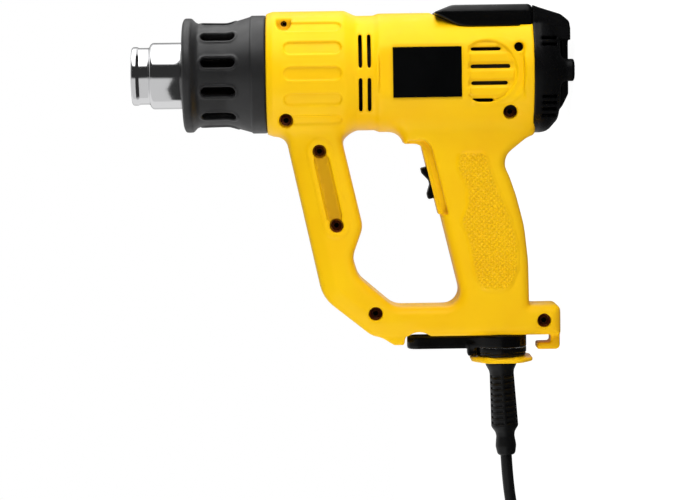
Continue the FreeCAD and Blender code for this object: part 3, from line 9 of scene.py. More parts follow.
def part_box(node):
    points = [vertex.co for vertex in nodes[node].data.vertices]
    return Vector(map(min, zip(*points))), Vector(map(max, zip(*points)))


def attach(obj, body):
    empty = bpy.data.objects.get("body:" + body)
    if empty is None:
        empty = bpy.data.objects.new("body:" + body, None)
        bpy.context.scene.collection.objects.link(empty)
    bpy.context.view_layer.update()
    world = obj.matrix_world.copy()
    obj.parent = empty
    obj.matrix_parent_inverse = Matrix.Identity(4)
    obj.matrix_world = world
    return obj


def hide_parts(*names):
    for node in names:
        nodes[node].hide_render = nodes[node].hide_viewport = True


# Heat gun standing on its tail, nozzle up. Shapes are drawn in the gun's own axes in mm
# (z along the barrel to the nozzle, x towards the barrel's top, y across) and then leaned.

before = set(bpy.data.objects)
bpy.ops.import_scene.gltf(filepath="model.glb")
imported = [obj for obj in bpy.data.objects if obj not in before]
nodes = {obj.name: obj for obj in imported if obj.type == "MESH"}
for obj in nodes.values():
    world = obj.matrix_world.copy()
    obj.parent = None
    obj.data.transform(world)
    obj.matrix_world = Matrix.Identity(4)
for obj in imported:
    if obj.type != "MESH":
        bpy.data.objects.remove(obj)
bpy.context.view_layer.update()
print("frame loaded:", len(nodes), "nodes")

# ---- how the gun stands: its lean, and the shaft's middle as the common reference
standing = {"lean": math.atan2(8.5, 160.2), "shaftMiddle": 58.5}
leanTurn = Matrix.Rotation(-standing["lean"], 3, "Y")
shaftLow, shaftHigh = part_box("motor_shaft")
gunShift = (shaftLow + shaftHigh) / 2 - leanTurn @ Vector((0, 0, standing["shaftMiddle"] / 1000))
leanArray = np.array(leanTurn)
shiftArray = np.array(gunShift)


def toWorld(points):
    # gun millimetres to world metres: turn by the lean, then shift
    return points @ leanArray.T / 1000 + shiftArray


def spot(x, y, z):
    return Vector(toWorld(np.array([x, y, z], float)))


def linked(name, data):
    # a new object with this data, put in the scene
    made = bpy.data.objects.new(name, data)
    bpy.context.scene.collection.objects.link(made)
    return made


# ---- camera first
cameraSet = {"away": 1544.0, "eyeX": -7.2, "eyeZ": 143.8, "aimX": -105.9, "aimZ": 131.5, "roll": 0.0148,
             "focal": 132.4, "sensor": 36, "clipEnd": 20}
cameraData = bpy.data.cameras.new("camera")
cameraData.lens = cameraSet["focal"]
cameraData.sensor_width = cameraSet["sensor"]
cameraData.clip_end = cameraSet["clipEnd"]
cameraObject = linked("camera", cameraData)
eye = spot(cameraSet["eyeX"], -cameraSet["away"], cameraSet["eyeZ"])
aim = spot(cameraSet["aimX"], 0, cameraSet["aimZ"])
back = (eye - aim).normalized()
upHint = leanTurn @ Vector((1, 0, -cameraSet["roll"]))
right = upHint.cross(back).normalized()
up = back.cross(right)
cameraObject.matrix_world = Matrix.Translation(eye) @ Matrix((right, up, back)).transposed().to_4x4()
bpy.context.scene.camera = cameraObject
bpy.context.scene.view_settings.view_transform = "Standard"
print("camera set")


# ---- materials
def newMaterial(name, color, rough, metal=0.0, specular=None):
    # a material with one principled shader, given back with its node tree and that shader
    material = bpy.data.materials.new(name)
    material.use_nodes = True
    shader = material.node_tree.nodes["Principled BSDF"]
    shader.inputs["Base Color"].default_value = (*color, 1)
    shader.inputs["Roughness"].default_value = rough
    shader.inputs["Metallic"].default_value = metal
    if specular is not None:
        shader.inputs["Specular IOR Level"].default_value = specular
    return material, material.node_tree, shader


def nodeOf(tree, kind, inputs=None, **settings):
    # a shader node with its settings; each input is linked from another node's output or set to a value
    node = tree.nodes.new("ShaderNode" + kind)
    for setting, value in settings.items():
        setattr(node, setting, value)
    for slot, value in (inputs or {}).items():
        if isinstance(value, bpy.types.NodeSocket):
            tree.links.new(value, node.inputs[slot])
        else:
            node.inputs[slot].default_value = value
    return node


def noiseOn(tree, scale, detail=2.0, stretch=None):
    # object-space noise in cycles a metre, optionally stretched along an axis
    source = nodeOf(tree, "TexCoord").outputs["Object"]
    if stretch:
        source = nodeOf(tree, "Mapping", {"Scale": stretch, "Vector": source}).outputs["Vector"]
    return nodeOf(tree, "TexNoise", {"Scale": scale, "Detail": detail, "Vector": source}).outputs["Fac"]


def placeOf(tree):
    # the X, Y and Z of a point in metres, or of a ray's direction in the world's shader
    return nodeOf(tree, "SeparateXYZ", {0: nodeOf(tree, "TexCoord").outputs["Object"]}).outputs


def mapRange(tree, value, low, high, toLow, toHigh):
    # the value's share of the way from low to high, taken from toLow to toHigh and held at both ends
    inputs = {"Value": value, "From Min": low, "From Max": high, "To Min": toLow, "To Max": toHigh}
    return nodeOf(tree, "MapRange", inputs).outputs["Result"]


def bumpFrom(tree, shader, height, strength, distance):
    bump = nodeOf(tree, "Bump", {"Strength": strength, "Distance": distance, "Height": height})
    tree.links.new(bump.outputs["Normal"], shader.inputs["Normal"])


def tintBetween(tree, shader, factor, colorA, colorB):
    # the base colour goes from colour A to colour B as the factor goes from 0 to 1
    mix = nodeOf(tree, "Mix", {"Factor": factor, "A": colorA, "B": colorB}, data_type="RGBA")
    tree.links.new(mix.outputs["Result"], shader.inputs["Base Color"])


def attributeOf(tree, name):
    return nodeOf(tree, "Attribute", attribute_name=name).outputs["Fac"]


def mathNode(tree, operation, first, second):
    return nodeOf(tree, "Math", {0: first, 1: second}, operation=operation).outputs[0]


def mouldedPlastic(name, color, deeper, rough, grain=0.25, specular=0.5):
    # satin moulded plastic: faint colour drift, roughness drift and a fine spark-eroded grain
    material, tree, shader = newMaterial(name, color, rough, specular=specular)
    drift = noiseOn(tree, 35, 3)
    tintBetween(tree, shader, mapRange(tree, drift, 0.35, 0.7, 0, 1), (*color, 1), (*deeper, 1))
    uneven = mapRange(tree, noiseOn(tree, 160, 3), 0.3, 0.7, rough - 0.05, rough + 0.06)
    tree.links.new(uneven, shader.inputs["Roughness"])
    bumpFrom(tree, shader, noiseOn(tree, 2600, 2), grain, 0.00008)
    return material, tree, shader


yellowSet = {"color": (0.93, 0.56, 0.003), "deeper": (0.90, 0.51, 0.003), "rough": 0.36, "grain": 0.12,
             "specular": 0.22}
# painted shade: the brown that the housing's yellow turns to in its recesses
wellShadeBrown = (0.16, 0.032, 0.004, 1)


def yellowShell():
    # the housing's yellow with painted shade: browner deep in its screw wells, slots and channel, and faintly
    # between the grip's dots, as the deep attribute says
    material, tree, shader = mouldedPlastic("yellowShell", **yellowSet)
    base = shader.inputs["Base Color"].links[0].from_socket
    tintBetween(tree, shader, attributeOf(tree, "deep"), base, wellShadeBrown)
    return material


yellow = yellowShell()
yellowTrim = mouldedPlastic("yellowTrim", **yellowSet)[0]

# colour, deeper colour, roughness, then grain and specular where they are not the usual
plasticSet = {
    "blackShell": ((0.0022, 0.0023, 0.0025), (0.004, 0.004, 0.0044), 0.29, 0.3, 0.26),
    "collarBlack": ((0.010, 0.010, 0.0105), (0.015, 0.015, 0.0155), 0.42, 0.3, 0.6),
    "blackSmooth": ((0.0014, 0.0015, 0.0017), (0.0025, 0.0026, 0.0028), 0.17, 0.08, 0.3),
    "cordRubber": ((0.0035, 0.0036, 0.0038), (0.006, 0.006, 0.0063), 0.38, 0.35, 0.3),
    "labelGloss": ((0.0012, 0.0014, 0.0015), (0.002, 0.0022, 0.0024), 0.2, 0.03, 0.12),
    "ceramic": ((0.62, 0.58, 0.50), (0.50, 0.46, 0.40), 0.8, 0.6),
    "mica": ((0.42, 0.36, 0.25), (0.50, 0.44, 0.33), 0.5, 0.4),
    "innerPlastic": ((0.006, 0.006, 0.0065), (0.010, 0.010, 0.0105), 0.6, 0.25, 0.2),
    "fanPlastic": ((0.10, 0.10, 0.105), (0.13, 0.13, 0.135), 0.45),
    "boardGreen": ((0.01, 0.08, 0.03), (0.02, 0.11, 0.04), 0.4, 0.4),
    "capBlue": ((0.02, 0.03, 0.12), (0.03, 0.04, 0.15), 0.35),
    "terminalWhite": ((0.70, 0.68, 0.62), (0.62, 0.60, 0.55), 0.5),
    "leadBlue": ((0.02, 0.05, 0.30), (0.03, 0.07, 0.35), 0.45),
    "buttonGrey": ((0.05, 0.05, 0.054), (0.06, 0.06, 0.064), 0.5),
    "screenGrey": ((0.20, 0.25, 0.17), (0.23, 0.28, 0.20), 0.3),
    "tieGrey": ((0.03, 0.03, 0.03), (0.04, 0.04, 0.04), 0.6),
}
plastics = {name: mouldedPlastic(name, *values)[0] for name, values in plasticSet.items()}
screwMetal, screwTree, screwShader = newMaterial("screwBronze", (0.085, 0.020, 0.006), 0.45, metal=0.35)
bumpFrom(screwTree, screwShader, noiseOn(screwTree, 1500, 2), 0.2, 0.0001)
# painted shade: the socket's hollow is coloured near black and made matt
paintedSocketShade = attributeOf(screwTree, "socket")
tintBetween(screwTree, screwShader, paintedSocketShade, (0.085, 0.020, 0.006, 1), (0.001, 0.001, 0.001, 1))
for inputName, whole in (("Metallic", 0.35), ("Specular IOR Level", 0.5)):    # the socket is painted as matt black shade
    screwTree.links.new(mapRange(screwTree, paintedSocketShade, 0, 1, whole, 0), screwShader.inputs[inputName])


def drawnMetal(name, color, deeper, rough, grain):
    # metal with a slow cloud in its tint and roughness and fine tool marks in its surface
    material, tree, shader = newMaterial(name, color, rough, metal=1.0)
    cloud = noiseOn(tree, 60, 3)
    tintBetween(tree, shader, cloud, (*color, 1), (*deeper, 1))
    tree.links.new(mapRange(tree, cloud, 0.3, 0.7, rough - 0.06, rough + 0.08), shader.inputs["Roughness"])
    bumpFrom(tree, shader, noiseOn(tree, grain[0], 3), grain[1], 0.00008)
    return material


def brightTube():
    # polished steel with faint turning lines round the barrel axis, painted dark as shade inside the collar
    material, tree, shader = newMaterial("brightTube", (0.86, 0.86, 0.87), 0.09, metal=1.0)
    bumpFrom(tree, shader, noiseOn(tree, 90, 2, (0.4, 0.4, 60)), 0.04, 0.00005)
    # painted shade: near black and rougher where the collar covers the tube
    clearOfCollarShade = mapRange(tree, placeOf(tree)["Z"], 0.2285, 0.2325, 0, 1)
    tintBetween(tree, shader, clearOfCollarShade, (0.10, 0.09, 0.085, 1), (0.87, 0.87, 0.88, 1))
    tree.links.new(mapRange(tree, clearOfCollarShade, 0, 1, 0.35, 0.08), shader.inputs["Roughness"])
    return material


chrome = brightTube()
heaterWire = drawnMetal("heaterWire", (0.25, 0.22, 0.20), (0.16, 0.13, 0.11), 0.45, (900, 0.3))
steel = drawnMetal("platedSteel", (0.55, 0.55, 0.56), (0.47, 0.47, 0.49), 0.3, (700, 0.15))
nickel = drawnMetal("nickel", (0.72, 0.70, 0.66), (0.64, 0.61, 0.56), 0.22, (1200, 0.1))
aluminium = drawnMetal("aluminium", (0.70, 0.70, 0.72), (0.62, 0.62, 0.65), 0.35, (500, 0.25))
lens, lensTree, lensShader = newMaterial("lens", (0.85, 0.9, 0.87), 0.05)
lensShader.inputs["Transmission Weight"].default_value = 0.9
lensShader.inputs["Alpha"].default_value = 0.45
lensUneven = mapRange(lensTree, noiseOn(lensTree, 400, 2), 0.3, 0.7, 0.03, 0.09)
lensTree.links.new(lensUneven, lensShader.inputs["Roughness"])
bumpFrom(lensTree, lensShader, noiseOn(lensTree, 120, 1), 0.05, 0.0001)

# every look, and the nodes that wear it
finishes = [
    (yellow, "housing_left housing_right"),
    (yellowTrim, "switch_plate hang_ring"),
    (screwMetal, "housing_screws"),
    (plastics["labelGloss"], "label_left label_right"),
    (plastics["blackShell"], "nose_collar rear_cap switch_body"),
    (plastics["blackSmooth"], "control_cover kickstand stand_retainer switch_rocker"),
    (plastics["buttonGrey"], "button_plus button_minus"),
    (chrome, "nozzle_tube"),
    (plastics["mica"], "mica_sleeve"),
    (plastics["ceramic"], "heater_core"),
    (heaterWire, "heater_wires"),
    (steel, "thermal_cutout motor_can motor_shaft"),
    (plastics["innerPlastic"], "motor_mount air_duct cord_clamp"),
    (plastics["fanPlastic"], "fan_wheel"),
    (plastics["boardGreen"], "control_board"),
    (aluminium, "heat_sink"),
    (plastics["capBlue"], "capacitor"),
    (plastics["terminalWhite"], "terminal_block"),
    (plastics["leadBlue"], "switch_leads"),
    (plastics["cordRubber"], "inner_cord strain_relief cord cord_coil cord_tail plug_body"),
    (plastics["tieGrey"], "coil_tie"),
    (nickel, "plug_pins"),
    (plastics["screenGrey"], "lcd_panel"),
    (lens, "display_lens"),
]
for look, wearers in finishes:
    for nodeName in wearers.split():
        nodes[nodeName].data.materials.clear()
        nodes[nodeName].data.materials.append(look)
print("finishes on the CAD pieces")


# ---- the cord: one spline along its route, then round the coil and out to the plug
cordSet = {
    "route": [
        (-135.107, 0.0, 29.059), (-158.987, 0.0, 26.66), (-181.107, -2.0, 20.131), (-202.107, -8.0, 10.437),
        (-221.107, -16.0, 4.315), (-236.997, -20.0, 3.55),
    ],
    "radius": 3.5, "turns": 9, "perTurn": 16, "middle": 35.0, "layerStep": 6.9, "plugRise": 8.75,
}


def coilPoints():
    # round and round from the coil's -y side: each layer's three turns step in or out by a diameter,
    # then the cord climbs to the next layer, and the last turn comes back down to the plug's height
    coilLow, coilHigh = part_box("cord_coil")
    centre = (coilLow + coilHigh) * 500
    count = cordSet["turns"] * cordSet["perTurn"]
    turn = np.arange(0, count + 1) / cordSet["perTurn"]
    angle = -math.pi / 2 - turn * 2 * math.pi
    lane = np.interp(turn, [0, 0.9, 1.1, 1.9, 2.1, 2.9, 3.1, 3.9, 4.1, 4.9, 5.1, 5.9, 6.1, 6.9, 7.1, 7.9, 8.2, 9],
                     [0, 0, -1, -1, 1, 1, 1, 1, 0, 0, -1, -1, -1, -1, 0, 0, 1, 0.4])
    layer = np.interp(turn, [0, 2.9, 3.1, 5.9, 6.1, 8.4, 9], [0, 0, 1, 1, 2, 2, 0.95])
    radius = cordSet["middle"] + lane * cordSet["layerStep"]
    height = cordSet["radius"] + 0.05 + layer * cordSet["layerStep"]
    return np.stack([centre.x + radius * np.cos(angle), centre.y + radius * np.sin(angle), height], 1)


def makeCord():
    tailLow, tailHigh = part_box("cord_tail")
    tailY = (tailLow.y + tailHigh.y) * 500
    coil = coilPoints()
    ends = [(tailHigh.x * 1000 - 4, tailY, cordSet["plugRise"]), (tailLow.x * 1000, tailY, cordSet["plugRise"])]
    points = np.array(cordSet["route"] + coil.tolist() + ends) / 1000
    curve = bpy.data.curves.new("mainsCord", "CURVE")
    curve.dimensions = "3D"
    curve.bevel_depth = cordSet["radius"] / 1000
    curve.bevel_resolution = 5
    curve.resolution_u = 8
    curve.use_fill_caps = True
    spline = curve.splines.new("NURBS")
    spline.points.add(len(points) - 1)
    spline.points.foreach_set("co", np.hstack([points, np.ones((len(points), 1))]).ravel())
    spline.order_u = 3
    spline.use_endpoint_u = True
    cord = linked("mainsCord", curve)
    curve.materials.append(plastics["cordRubber"])
    return cord, points


mainsCord, cordPoints = makeCord()
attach(mainsCord, "gun")
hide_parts("cord", "cord_coil", "cord_tail")
print("cord laid")


# ---- distance fields: every point's distance to a surface, less than zero inside
def roundedOutline(corners):
    # corners of (x, z, radius), each one carried round on an arc that touches both its sides
    corners = [np.array((*corner, 0)[:3], float) for corner in corners]
    outline = []
    for index, corner in enumerate(corners):
        before, after = corners[index - 1][:2], corners[(index + 1) % len(corners)][:2]
        here, radius = corner[:2], corner[2]
        if radius <= 0:
            outline.append(here[None])
            continue
        toBefore = (before - here) / np.linalg.norm(before - here)
        toAfter = (after - here) / np.linalg.norm(after - here)
        halfAngle = math.acos(np.clip(toBefore @ toAfter, -1, 1)) / 2
        bisector = (toBefore + toAfter) / np.linalg.norm(toBefore + toAfter)
        centre = here + bisector * radius / math.sin(halfAngle)
        start = here + toBefore * radius / math.tan(halfAngle) - centre
        end = here + toAfter * radius / math.tan(halfAngle) - centre
        sweep = math.atan2(start[0] * end[1] - start[1] * end[0], start @ end)
        turns = np.linspace(0, sweep, max(3, int(abs(sweep) / 0.12)))
        outline.append(centre + np.stack([start[0] * np.cos(turns) - start[1] * np.sin(turns),
                                          start[0] * np.sin(turns) + start[1] * np.cos(turns)], 1))
    return np.vstack(outline)


def outlineDistance(outline, across, along):
    # nearest distance to the closed outline's sides, with the sign from counting crossings
    a, b = np.meshgrid(across, along, indexing="ij")
    best = np.full(a.shape, 1e9)
    inside = np.zeros(a.shape, bool)
    for (x0, z0), (x1, z1) in zip(outline, np.roll(outline, -1, 0)):
        dx, dz = x1 - x0, z1 - z0
        share = np.clip(((a - x0) * dx + (b - z0) * dz) / max(dx * dx + dz * dz, 1e-12), 0, 1)
        best = np.minimum(best, (a - x0 - share * dx) ** 2 + (b - z0 - share * dz) ** 2)
        if z0 != z1:
            inside ^= ((z0 > b) != (z1 > b)) & (a < x0 + (b - z0) * dx / dz)
    return np.where(inside, -1, 1) * np.sqrt(best)


def softMin(a, b, blend):
    # the lower of two fields, with a fillet of about the blend where they meet
    over = np.maximum(blend - np.abs(a - b), 0) / blend
    return np.minimum(a, b) - over * over * blend / 4


def softMax(a, b, blend):
    # the higher of two fields, with the same fillet
    return -softMin(-a, -b, blend)


def pushed(flat, depth, halfDepth, edge):
    # a flat outline pushed out to each side, with its rim rounded to the edge radius
    u, v = flat + edge, depth - halfDepth + edge
    return np.hypot(np.maximum(u, 0), np.maximum(v, 0)) + np.minimum(np.maximum(u, v), 0) - edge


def sunk(field, region, depth, soft=0.5):
    # the surface lowered by a depth inside a region
    return softMax(field, np.minimum(field + depth, -region), soft)


def raised(field, region, height, soft=0.5):
    # the surface lifted by a height inside a region
    return softMin(field, np.maximum(field - height, region), soft)


def capsule(a, b, start, end, radius):
    # distance in a plane to a line between two points, less the radius
    dx, dz = end[0] - start[0], end[1] - start[1]
    share = np.clip(((a - start[0]) * dx + (b - start[1]) * dz) / (dx * dx + dz * dz), 0, 1)
    return np.hypot(a - start[0] - share * dx, b - start[1] - share * dz) - radius


def axesIn(settings):
    # the grid's places along x, y and z: from the box's low end to its high end, a pitch apart
    return [np.arange(low, high, settings["pitch"]) for low, high in settings["box"]]


def spread(axes):
    # the three axes as thin arrays that combine to the whole grid
    return [axis.astype(np.float32) for axis in np.meshgrid(*axes, indexing="ij", sparse=True)]


def sideField(corners, axes):
    # distance to a side view's rounded outline, the same all the way across
    return outlineDistance(roundedOutline(corners), axes[0], axes[2]).astype(np.float32)[:, None, :]


tableSet = {"reach": 70, "step": 0.25}


def turnedField(corners, radius, along):
    # a rounded (radius, along) outline spun round an axis, its distance read from a table of radii
    steps = np.arange(0, tableSet["reach"], tableSet["step"])
    table = outlineDistance(roundedOutline(corners), steps, along).astype(np.float32)
    place = np.clip(radius / tableSet["step"], 0, len(steps) - 2)
    low = place.astype(np.int32)
    share = (place - low).astype(np.float32)
    column = np.arange(len(along))[None, None, :]
    return table[low, column] * (1 - share) + table[low + 1, column] * share


def skinOf(name, field, axes, pitch, material, extras=None, flip=False, adaptivity=0.0, place=None):
    # the field's zero surface as a mesh, its normals the field's own slope
    grid = vdb.FloatGrid(3.0)
    grid.copyFromArray(np.ascontiguousarray(np.clip(field, -3, 3), np.float32))
    points, triangles, quads = grid.convertToPolygons(isovalue=0.0, adaptivity=adaptivity)
    faces = triangles.tolist() + quads.tolist()
    base = np.clip(points.astype(int), 0, np.array(field.shape) - 2)
    share = points - base

    def sample(values):
        total = 0
        for corner in np.ndindex(2, 2, 2):
            weight = np.prod(np.where(corner, share, 1 - share), axis=1)
            total = total + weight * values[tuple((base + corner).T)]
        return total

    slope = np.stack([sample(np.gradient(field, axis=axis)) for axis in range(3)], 1)
    normals = slope / np.maximum(np.linalg.norm(slope, axis=1, keepdims=True), 1e-9)
    spots = points * pitch + np.array([axis[0] for axis in axes])
    corners = triangles if len(triangles) else quads
    first, second, third = (points[corners[:, index]] for index in range(3))
    outward = (np.cross(second - first, third - first) * normals[corners[:, 0]]).sum() > 0
    if flip:
        spots[:, 1] *= -1
        normals[:, 1] *= -1
    if outward == flip:
        faces = [face[::-1] for face in faces]
    mesh = bpy.data.meshes.new(name)
    if place:
        normals = place(spots + normals * 0.01) - place(spots)
        normals /= np.linalg.norm(normals, axis=1, keepdims=True)
        spots = place(spots)
    mesh.from_pydata(toWorld(spots), [], faces)
    for extraName, values in (extras or {}).items():
        attribute = mesh.attributes.new(extraName, "FLOAT", "POINT")
        attribute.data.foreach_set("value", sample(values).astype(np.float32))
    mesh.polygons.foreach_set("use_smooth", np.ones(len(mesh.polygons), bool))
    mesh.normals_split_custom_set_from_vertices((normals @ leanArray.T).tolist())
    mesh.materials.append(material)
    piece = linked(name, mesh)
    print(name, "has", sum(len(face) - 2 for face in faces), "triangles")
    return piece


# ---- the yellow housing halves
housingSet = {
    "pitch": 0.85, "box": ((-168.5, 41), (-2, 40), (4.5, 184)), "wall": 2.6, "scoopShadeCap": 0.28, "halfWidth": 19.0,
    "rim": 7.0, "fillet": 7.0, "room": 30.4,
    "outer": [(-20, 172.6), (-133.6, 148.2, 22), (-157.5, 118.3, 12), (-157.5, 6.5, 1.5), (-139.4, 6.5, 4),
              (-139.4, 25.0), (-113, 25.4, 60), (-92, 27.6, 60), (-74, 32.2, 45), (-61.5, 36.4, 20),
              (-52.5, 41.6, 10), (-37, 22.2), (-20, 22.2)],
    "hole": [(-22.8, 139.2), (-91.5, 123.6, 12), (-109.5, 130.2, 12), (-121.3, 126.7, 12), (-139.4, 105.6, 12),
             (-139.4, 64.2, 9), (-42.5, 87.2, 7), (-42.5, 98.6), (-22.8, 105.6)],
    "barrel": [(0, 22.2), (37, 22.2), (36.6, 27, 6), (35.4, 40, 14), (35.4, 113, 1.5), (34.2, 116, 1.5),
               (34.2, 126.5, 4), (37.3, 133, 4), (37.3, 175.7, 3), (36.0, 179.6), (0, 179.6)],
    "lip": [(-154.7, 99.5), (-162.4, 99.5, 1), (-162.4, 106, 1.5), (-154.7, 118.3)],
    "hook": [(-154.7, 6.5), (-166.8, 6.5, 2.5), (-166.8, 20.2, 1), (-162.7, 20.2, 1), (-162.7, 12, 1.5),
             (-154.7, 12)],
    "cover": [(26.2, 15), (26.2, 65, 18), (34.6, 81.2), (60, 81.2), (60, 15)],
    "grip": [(-47.5, 67, 4), (-57, 67.7, 6), (-70, 61.7, 8), (-79, 61.7, 6), (-88, 66.2, 6), (-100, 61.7, 8),
             (-123, 57.5, 6), (-130, 53, 5), (-130, 37, 5), (-118, 31.6, 6), (-103, 31.4, 8), (-88, 35.1, 8),
             (-67, 44, 8), (-47.5, 50.5, 4)],
    "blocks": {"lip": 15.5, "hook": 8},
    "bezel": {"middle": -62.5, "half": 22.0, "reach": 4.2, "halfWidth": 11.6, "along": 96},
    "bevel": {"reach": 10, "most": 12, "slope": 0.32, "along": 84, "down": -34, "over": 14},
    "channel": ((-51.5, 147.7), (-84.5, 140.6), 4.4), "oval": ((-46, 148.9), (-90.2, 139.4), 7.6),
    "label": {"side": 32.5, "middle": 70.5, "half": 42.5},
    "pocket": {"half": 15.1, "middle": 84.85, "halfAlong": 20.45, "depth": 0.45},
    "ribs": {"turn": 24, "middle": 152.2, "half": 13.2, "radius": 3.7},
    "neck": {"along": (124.1, 118.9), "from": 3.9, "to": 21.5, "half": 1.05},
    "vents": {"middle": 50.0, "radius": 17.8, "front": 60.6, "slotRadius": 18.6, "slotFront": 59.6, "slotHalf": 1.0,
              "bars": (8, -2, -12), "barHalf": 2.7, "border": 23.6, "borderHalf": 19.8},
    "well": 4.1, "wellDepth": 7, "pinhole": (14, 31, 2.7), "notch": (-163.6, 91, 9.0), "coverSeat": 24.3,
    "screws": {"noseUpper": (29.6, 168.8, 23.2), "noseLower": (-27.3, 168.3, 25.9), "strutUpper": (-46, 148.9, 19),
               "strutLower": (-90.2, 139.4, 19), "toe": (-143.1, 116.9, 19), "heel": (-148.6, 16.6, 19),
               "tail": (-24, 36, 26.1)},
    "slots": [(13, 16.5), (3, 22), (-7, 20.5), (-17, 12)],
}


def housingField(withScrews, axes=None):
    # handle loop and barrel melted together, then the wells, slots, grooves and panels are taken out
    axes = axes or axesIn(housingSet)
    x, q, z = spread(axes)
    outer, hole = sideField(housingSet["outer"], axes), sideField(housingSet["hole"], axes)
    body = pushed(np.maximum(outer, -hole), np.abs(q), housingSet["halfWidth"], housingSet["rim"])
    bevel = housingSet["bevel"]    # the strut's side leans in towards its front edge
    inward = np.clip(bevel["reach"] + outer, 0, bevel["most"])
    slope = bevel["slope"] * np.clip((z - bevel["along"]) / bevel["over"], 0, 1)
    slope = slope * np.clip((bevel["down"] - x) / bevel["over"], 0, 1)
    body = softMax(body, q - housingSet["halfWidth"] + slope * inward, 1.2)
    channel = capsule(x, z, *housingSet["channel"])
    body = raised(body, capsule(x, z, *housingSet["oval"]), 0.7, 0.8)
    body = sunk(body, channel, 3.2, 0.8)
    grip = sideField(housingSet["grip"], axes)
    body = raised(body, grip, 0.8, 0.4)
    for part, halfWidth in housingSet["blocks"].items():
        body = softMin(body, pushed(sideField(housingSet[part], axes), np.abs(q), halfWidth, 0.8), 1.5)

    # the barrel: a turned profile with a flat for each label and a ring of sunk stadiums with raised borders
    radius = np.sqrt(x * x + q * q)
    barrel = turnedField(housingSet["barrel"], radius, axes[2])
    label = housingSet["label"]
    barrel = softMax(barrel, -np.maximum(label["side"] - q, np.abs(z - label["middle"]) - label["half"]), 1.6)
    ribs = housingSet["ribs"]
    around = np.degrees(np.arctan2(x, np.maximum(q, 0.01)))
    nearest = np.clip(np.round(around / ribs["turn"]), -2, 2) * ribs["turn"]
    arc = np.radians(around - nearest) * housingSet["room"] * 1.2
    stadium = np.hypot(arc, np.maximum(np.abs(z - ribs["middle"]) - ribs["half"], 0)) - ribs["radius"]
    barrel = raised(barrel, np.abs(stadium - 0.3) - 0.8, 0.3, 0.4)
    barrel = sunk(barrel, stadium, 1.1, 0.5)
    body = softMin(body, barrel, housingSet["fillet"])
    bezel = housingSet["bezel"]
    rebate = np.maximum(np.maximum(hole - bezel["reach"], bezel["halfWidth"] - q),
                        np.maximum(np.abs(x - bezel["middle"]) - bezel["half"], z - bezel["along"]))
    body = softMax(body, -rebate, 1.2)
    whole = body

    # round vent panel: a sunk disc with a flat front end, two raised borders, bars across it and slots along it
    vents = housingSet["vents"]
    front, fromMiddle = z - vents["front"], np.hypot(x, z - vents["middle"])
    recess = np.maximum(fromMiddle - vents["radius"], front)
    border = softMax(fromMiddle - vents["border"], np.abs(x) - vents["borderHalf"], 6.0)
    border = np.maximum(border, front)
    body = raised(body, np.maximum(np.abs(border) - 0.7, front + 2.5), 0.3, 0.8)
    body = raised(body, np.maximum(np.abs(recess - 1.0) - 0.9, front + 2.5), 0.35, 0.6)
    body = sunk(body, recess, 1.1, 0.6)
    for middle in vents["bars"]:
        bar = np.maximum(np.abs(x - middle) - vents["barHalf"], fromMiddle - vents["radius"] + 1.6)
        body = raised(body, np.maximum(bar, front), 0.9, 0.9)
    for middle, length in housingSet["slots"]:
        slot = capsule(x, z, (middle, vents["slotFront"] - 1.3), (middle, vents["slotFront"] - length - 0.5),
                       vents["slotHalf"])
        slot = np.maximum(slot, fromMiddle - vents["slotRadius"])
        body = np.maximum(body, -np.maximum(slot, 20 - q))
    neck = housingSet["neck"]
    for along in neck["along"]:
        for side in (-1, 1):
            slot = capsule(x, z, (side * neck["from"], along), (side * neck["to"], along), neck["half"])
            body = np.maximum(body, -np.maximum(slot, 18 - q))
    pocket = housingSet["pocket"]
    panel = np.maximum(np.abs(x) - pocket["half"], np.abs(z - pocket["middle"]) - pocket["halfAlong"])
    body = sunk(body, panel, pocket["depth"], 0.2)
    holeX, holeZ, holeRadius = housingSet["pinhole"]
    body = np.maximum(body, -np.maximum(np.hypot(x - holeX, z - holeZ) - holeRadius, 24 - q))
    if withScrews:
        for name, (wellX, wellZ, face) in housingSet["screws"].items():
            well = np.hypot(x - wellX, z - wellZ) - housingSet["well"]
            if name == "noseUpper":    # a shallow U open at the top, with the screw down a small hole in its floor
                scoop = capsule(x, z, (wellX, wellZ), (wellX + 20, wellZ), housingSet["well"])
                scoop = softMax(scoop, face - 5.6 - q, 0.8)
                body = softMax(body, -scoop, 0.8)
                well = well + 2.5
                hollow = well + 0 * q
            body = softMax(body, -softMax(well, face - housingSet["wellDepth"] - q, 0.4), 0.4)
    notchX, notchZ, notchRadius = housingSet["notch"]
    body = softMax(body, notchRadius - np.hypot(x - notchX, z - notchZ) + 0 * q, 0.8)
    cover = sideField(housingSet["cover"], axes)
    body = np.maximum(body, -np.maximum(cover, q - housingSet["coverSeat"]))

    # the wall: what lies deeper than its thickness is taken out, then the barrel's round room and the far half
    shell = np.maximum(body, -(np.maximum(body, whole) + housingSet["wall"]))
    shell = np.maximum(shell, housingSet["room"] - radius)
    shell = np.maximum(shell, 0.12 - q)
    # painted shade: the deep attribute browns the channel's floor and whatever lies sunk below the outer surface,
    # and is held lighter in the nose's open scoop
    channelFloorShade = np.clip(-channel / 1.2, 0, 1) * np.clip((17.6 - q) / 1.2, 0, 1) * 0.5
    deep = np.maximum(np.clip((-whole - 1.2) / 3.0, 0, 1), channelFloorShade)
    if withScrews:
        deep = np.where((scoop < 0.9) & (hollow > 0), np.minimum(deep, housingSet["scoopShadeCap"]), deep)
    return shell, axes, {"deep": deep.astype(np.float32)}, (body, grip)


# the dotted pad on each side of the handle: a thin skin that follows the housing, with rows of staggered round dots
# and painted shade on the ground between them
padSet = {"pitch": 0.42, "box": ((-134, -44), (11.5, 21), (27, 71)), "dotPitch": 3.0, "dotHeight": 0.8,
          "lift": 0.05, "depth": 0.5, "inset": 0.6, "tint": 0.10}


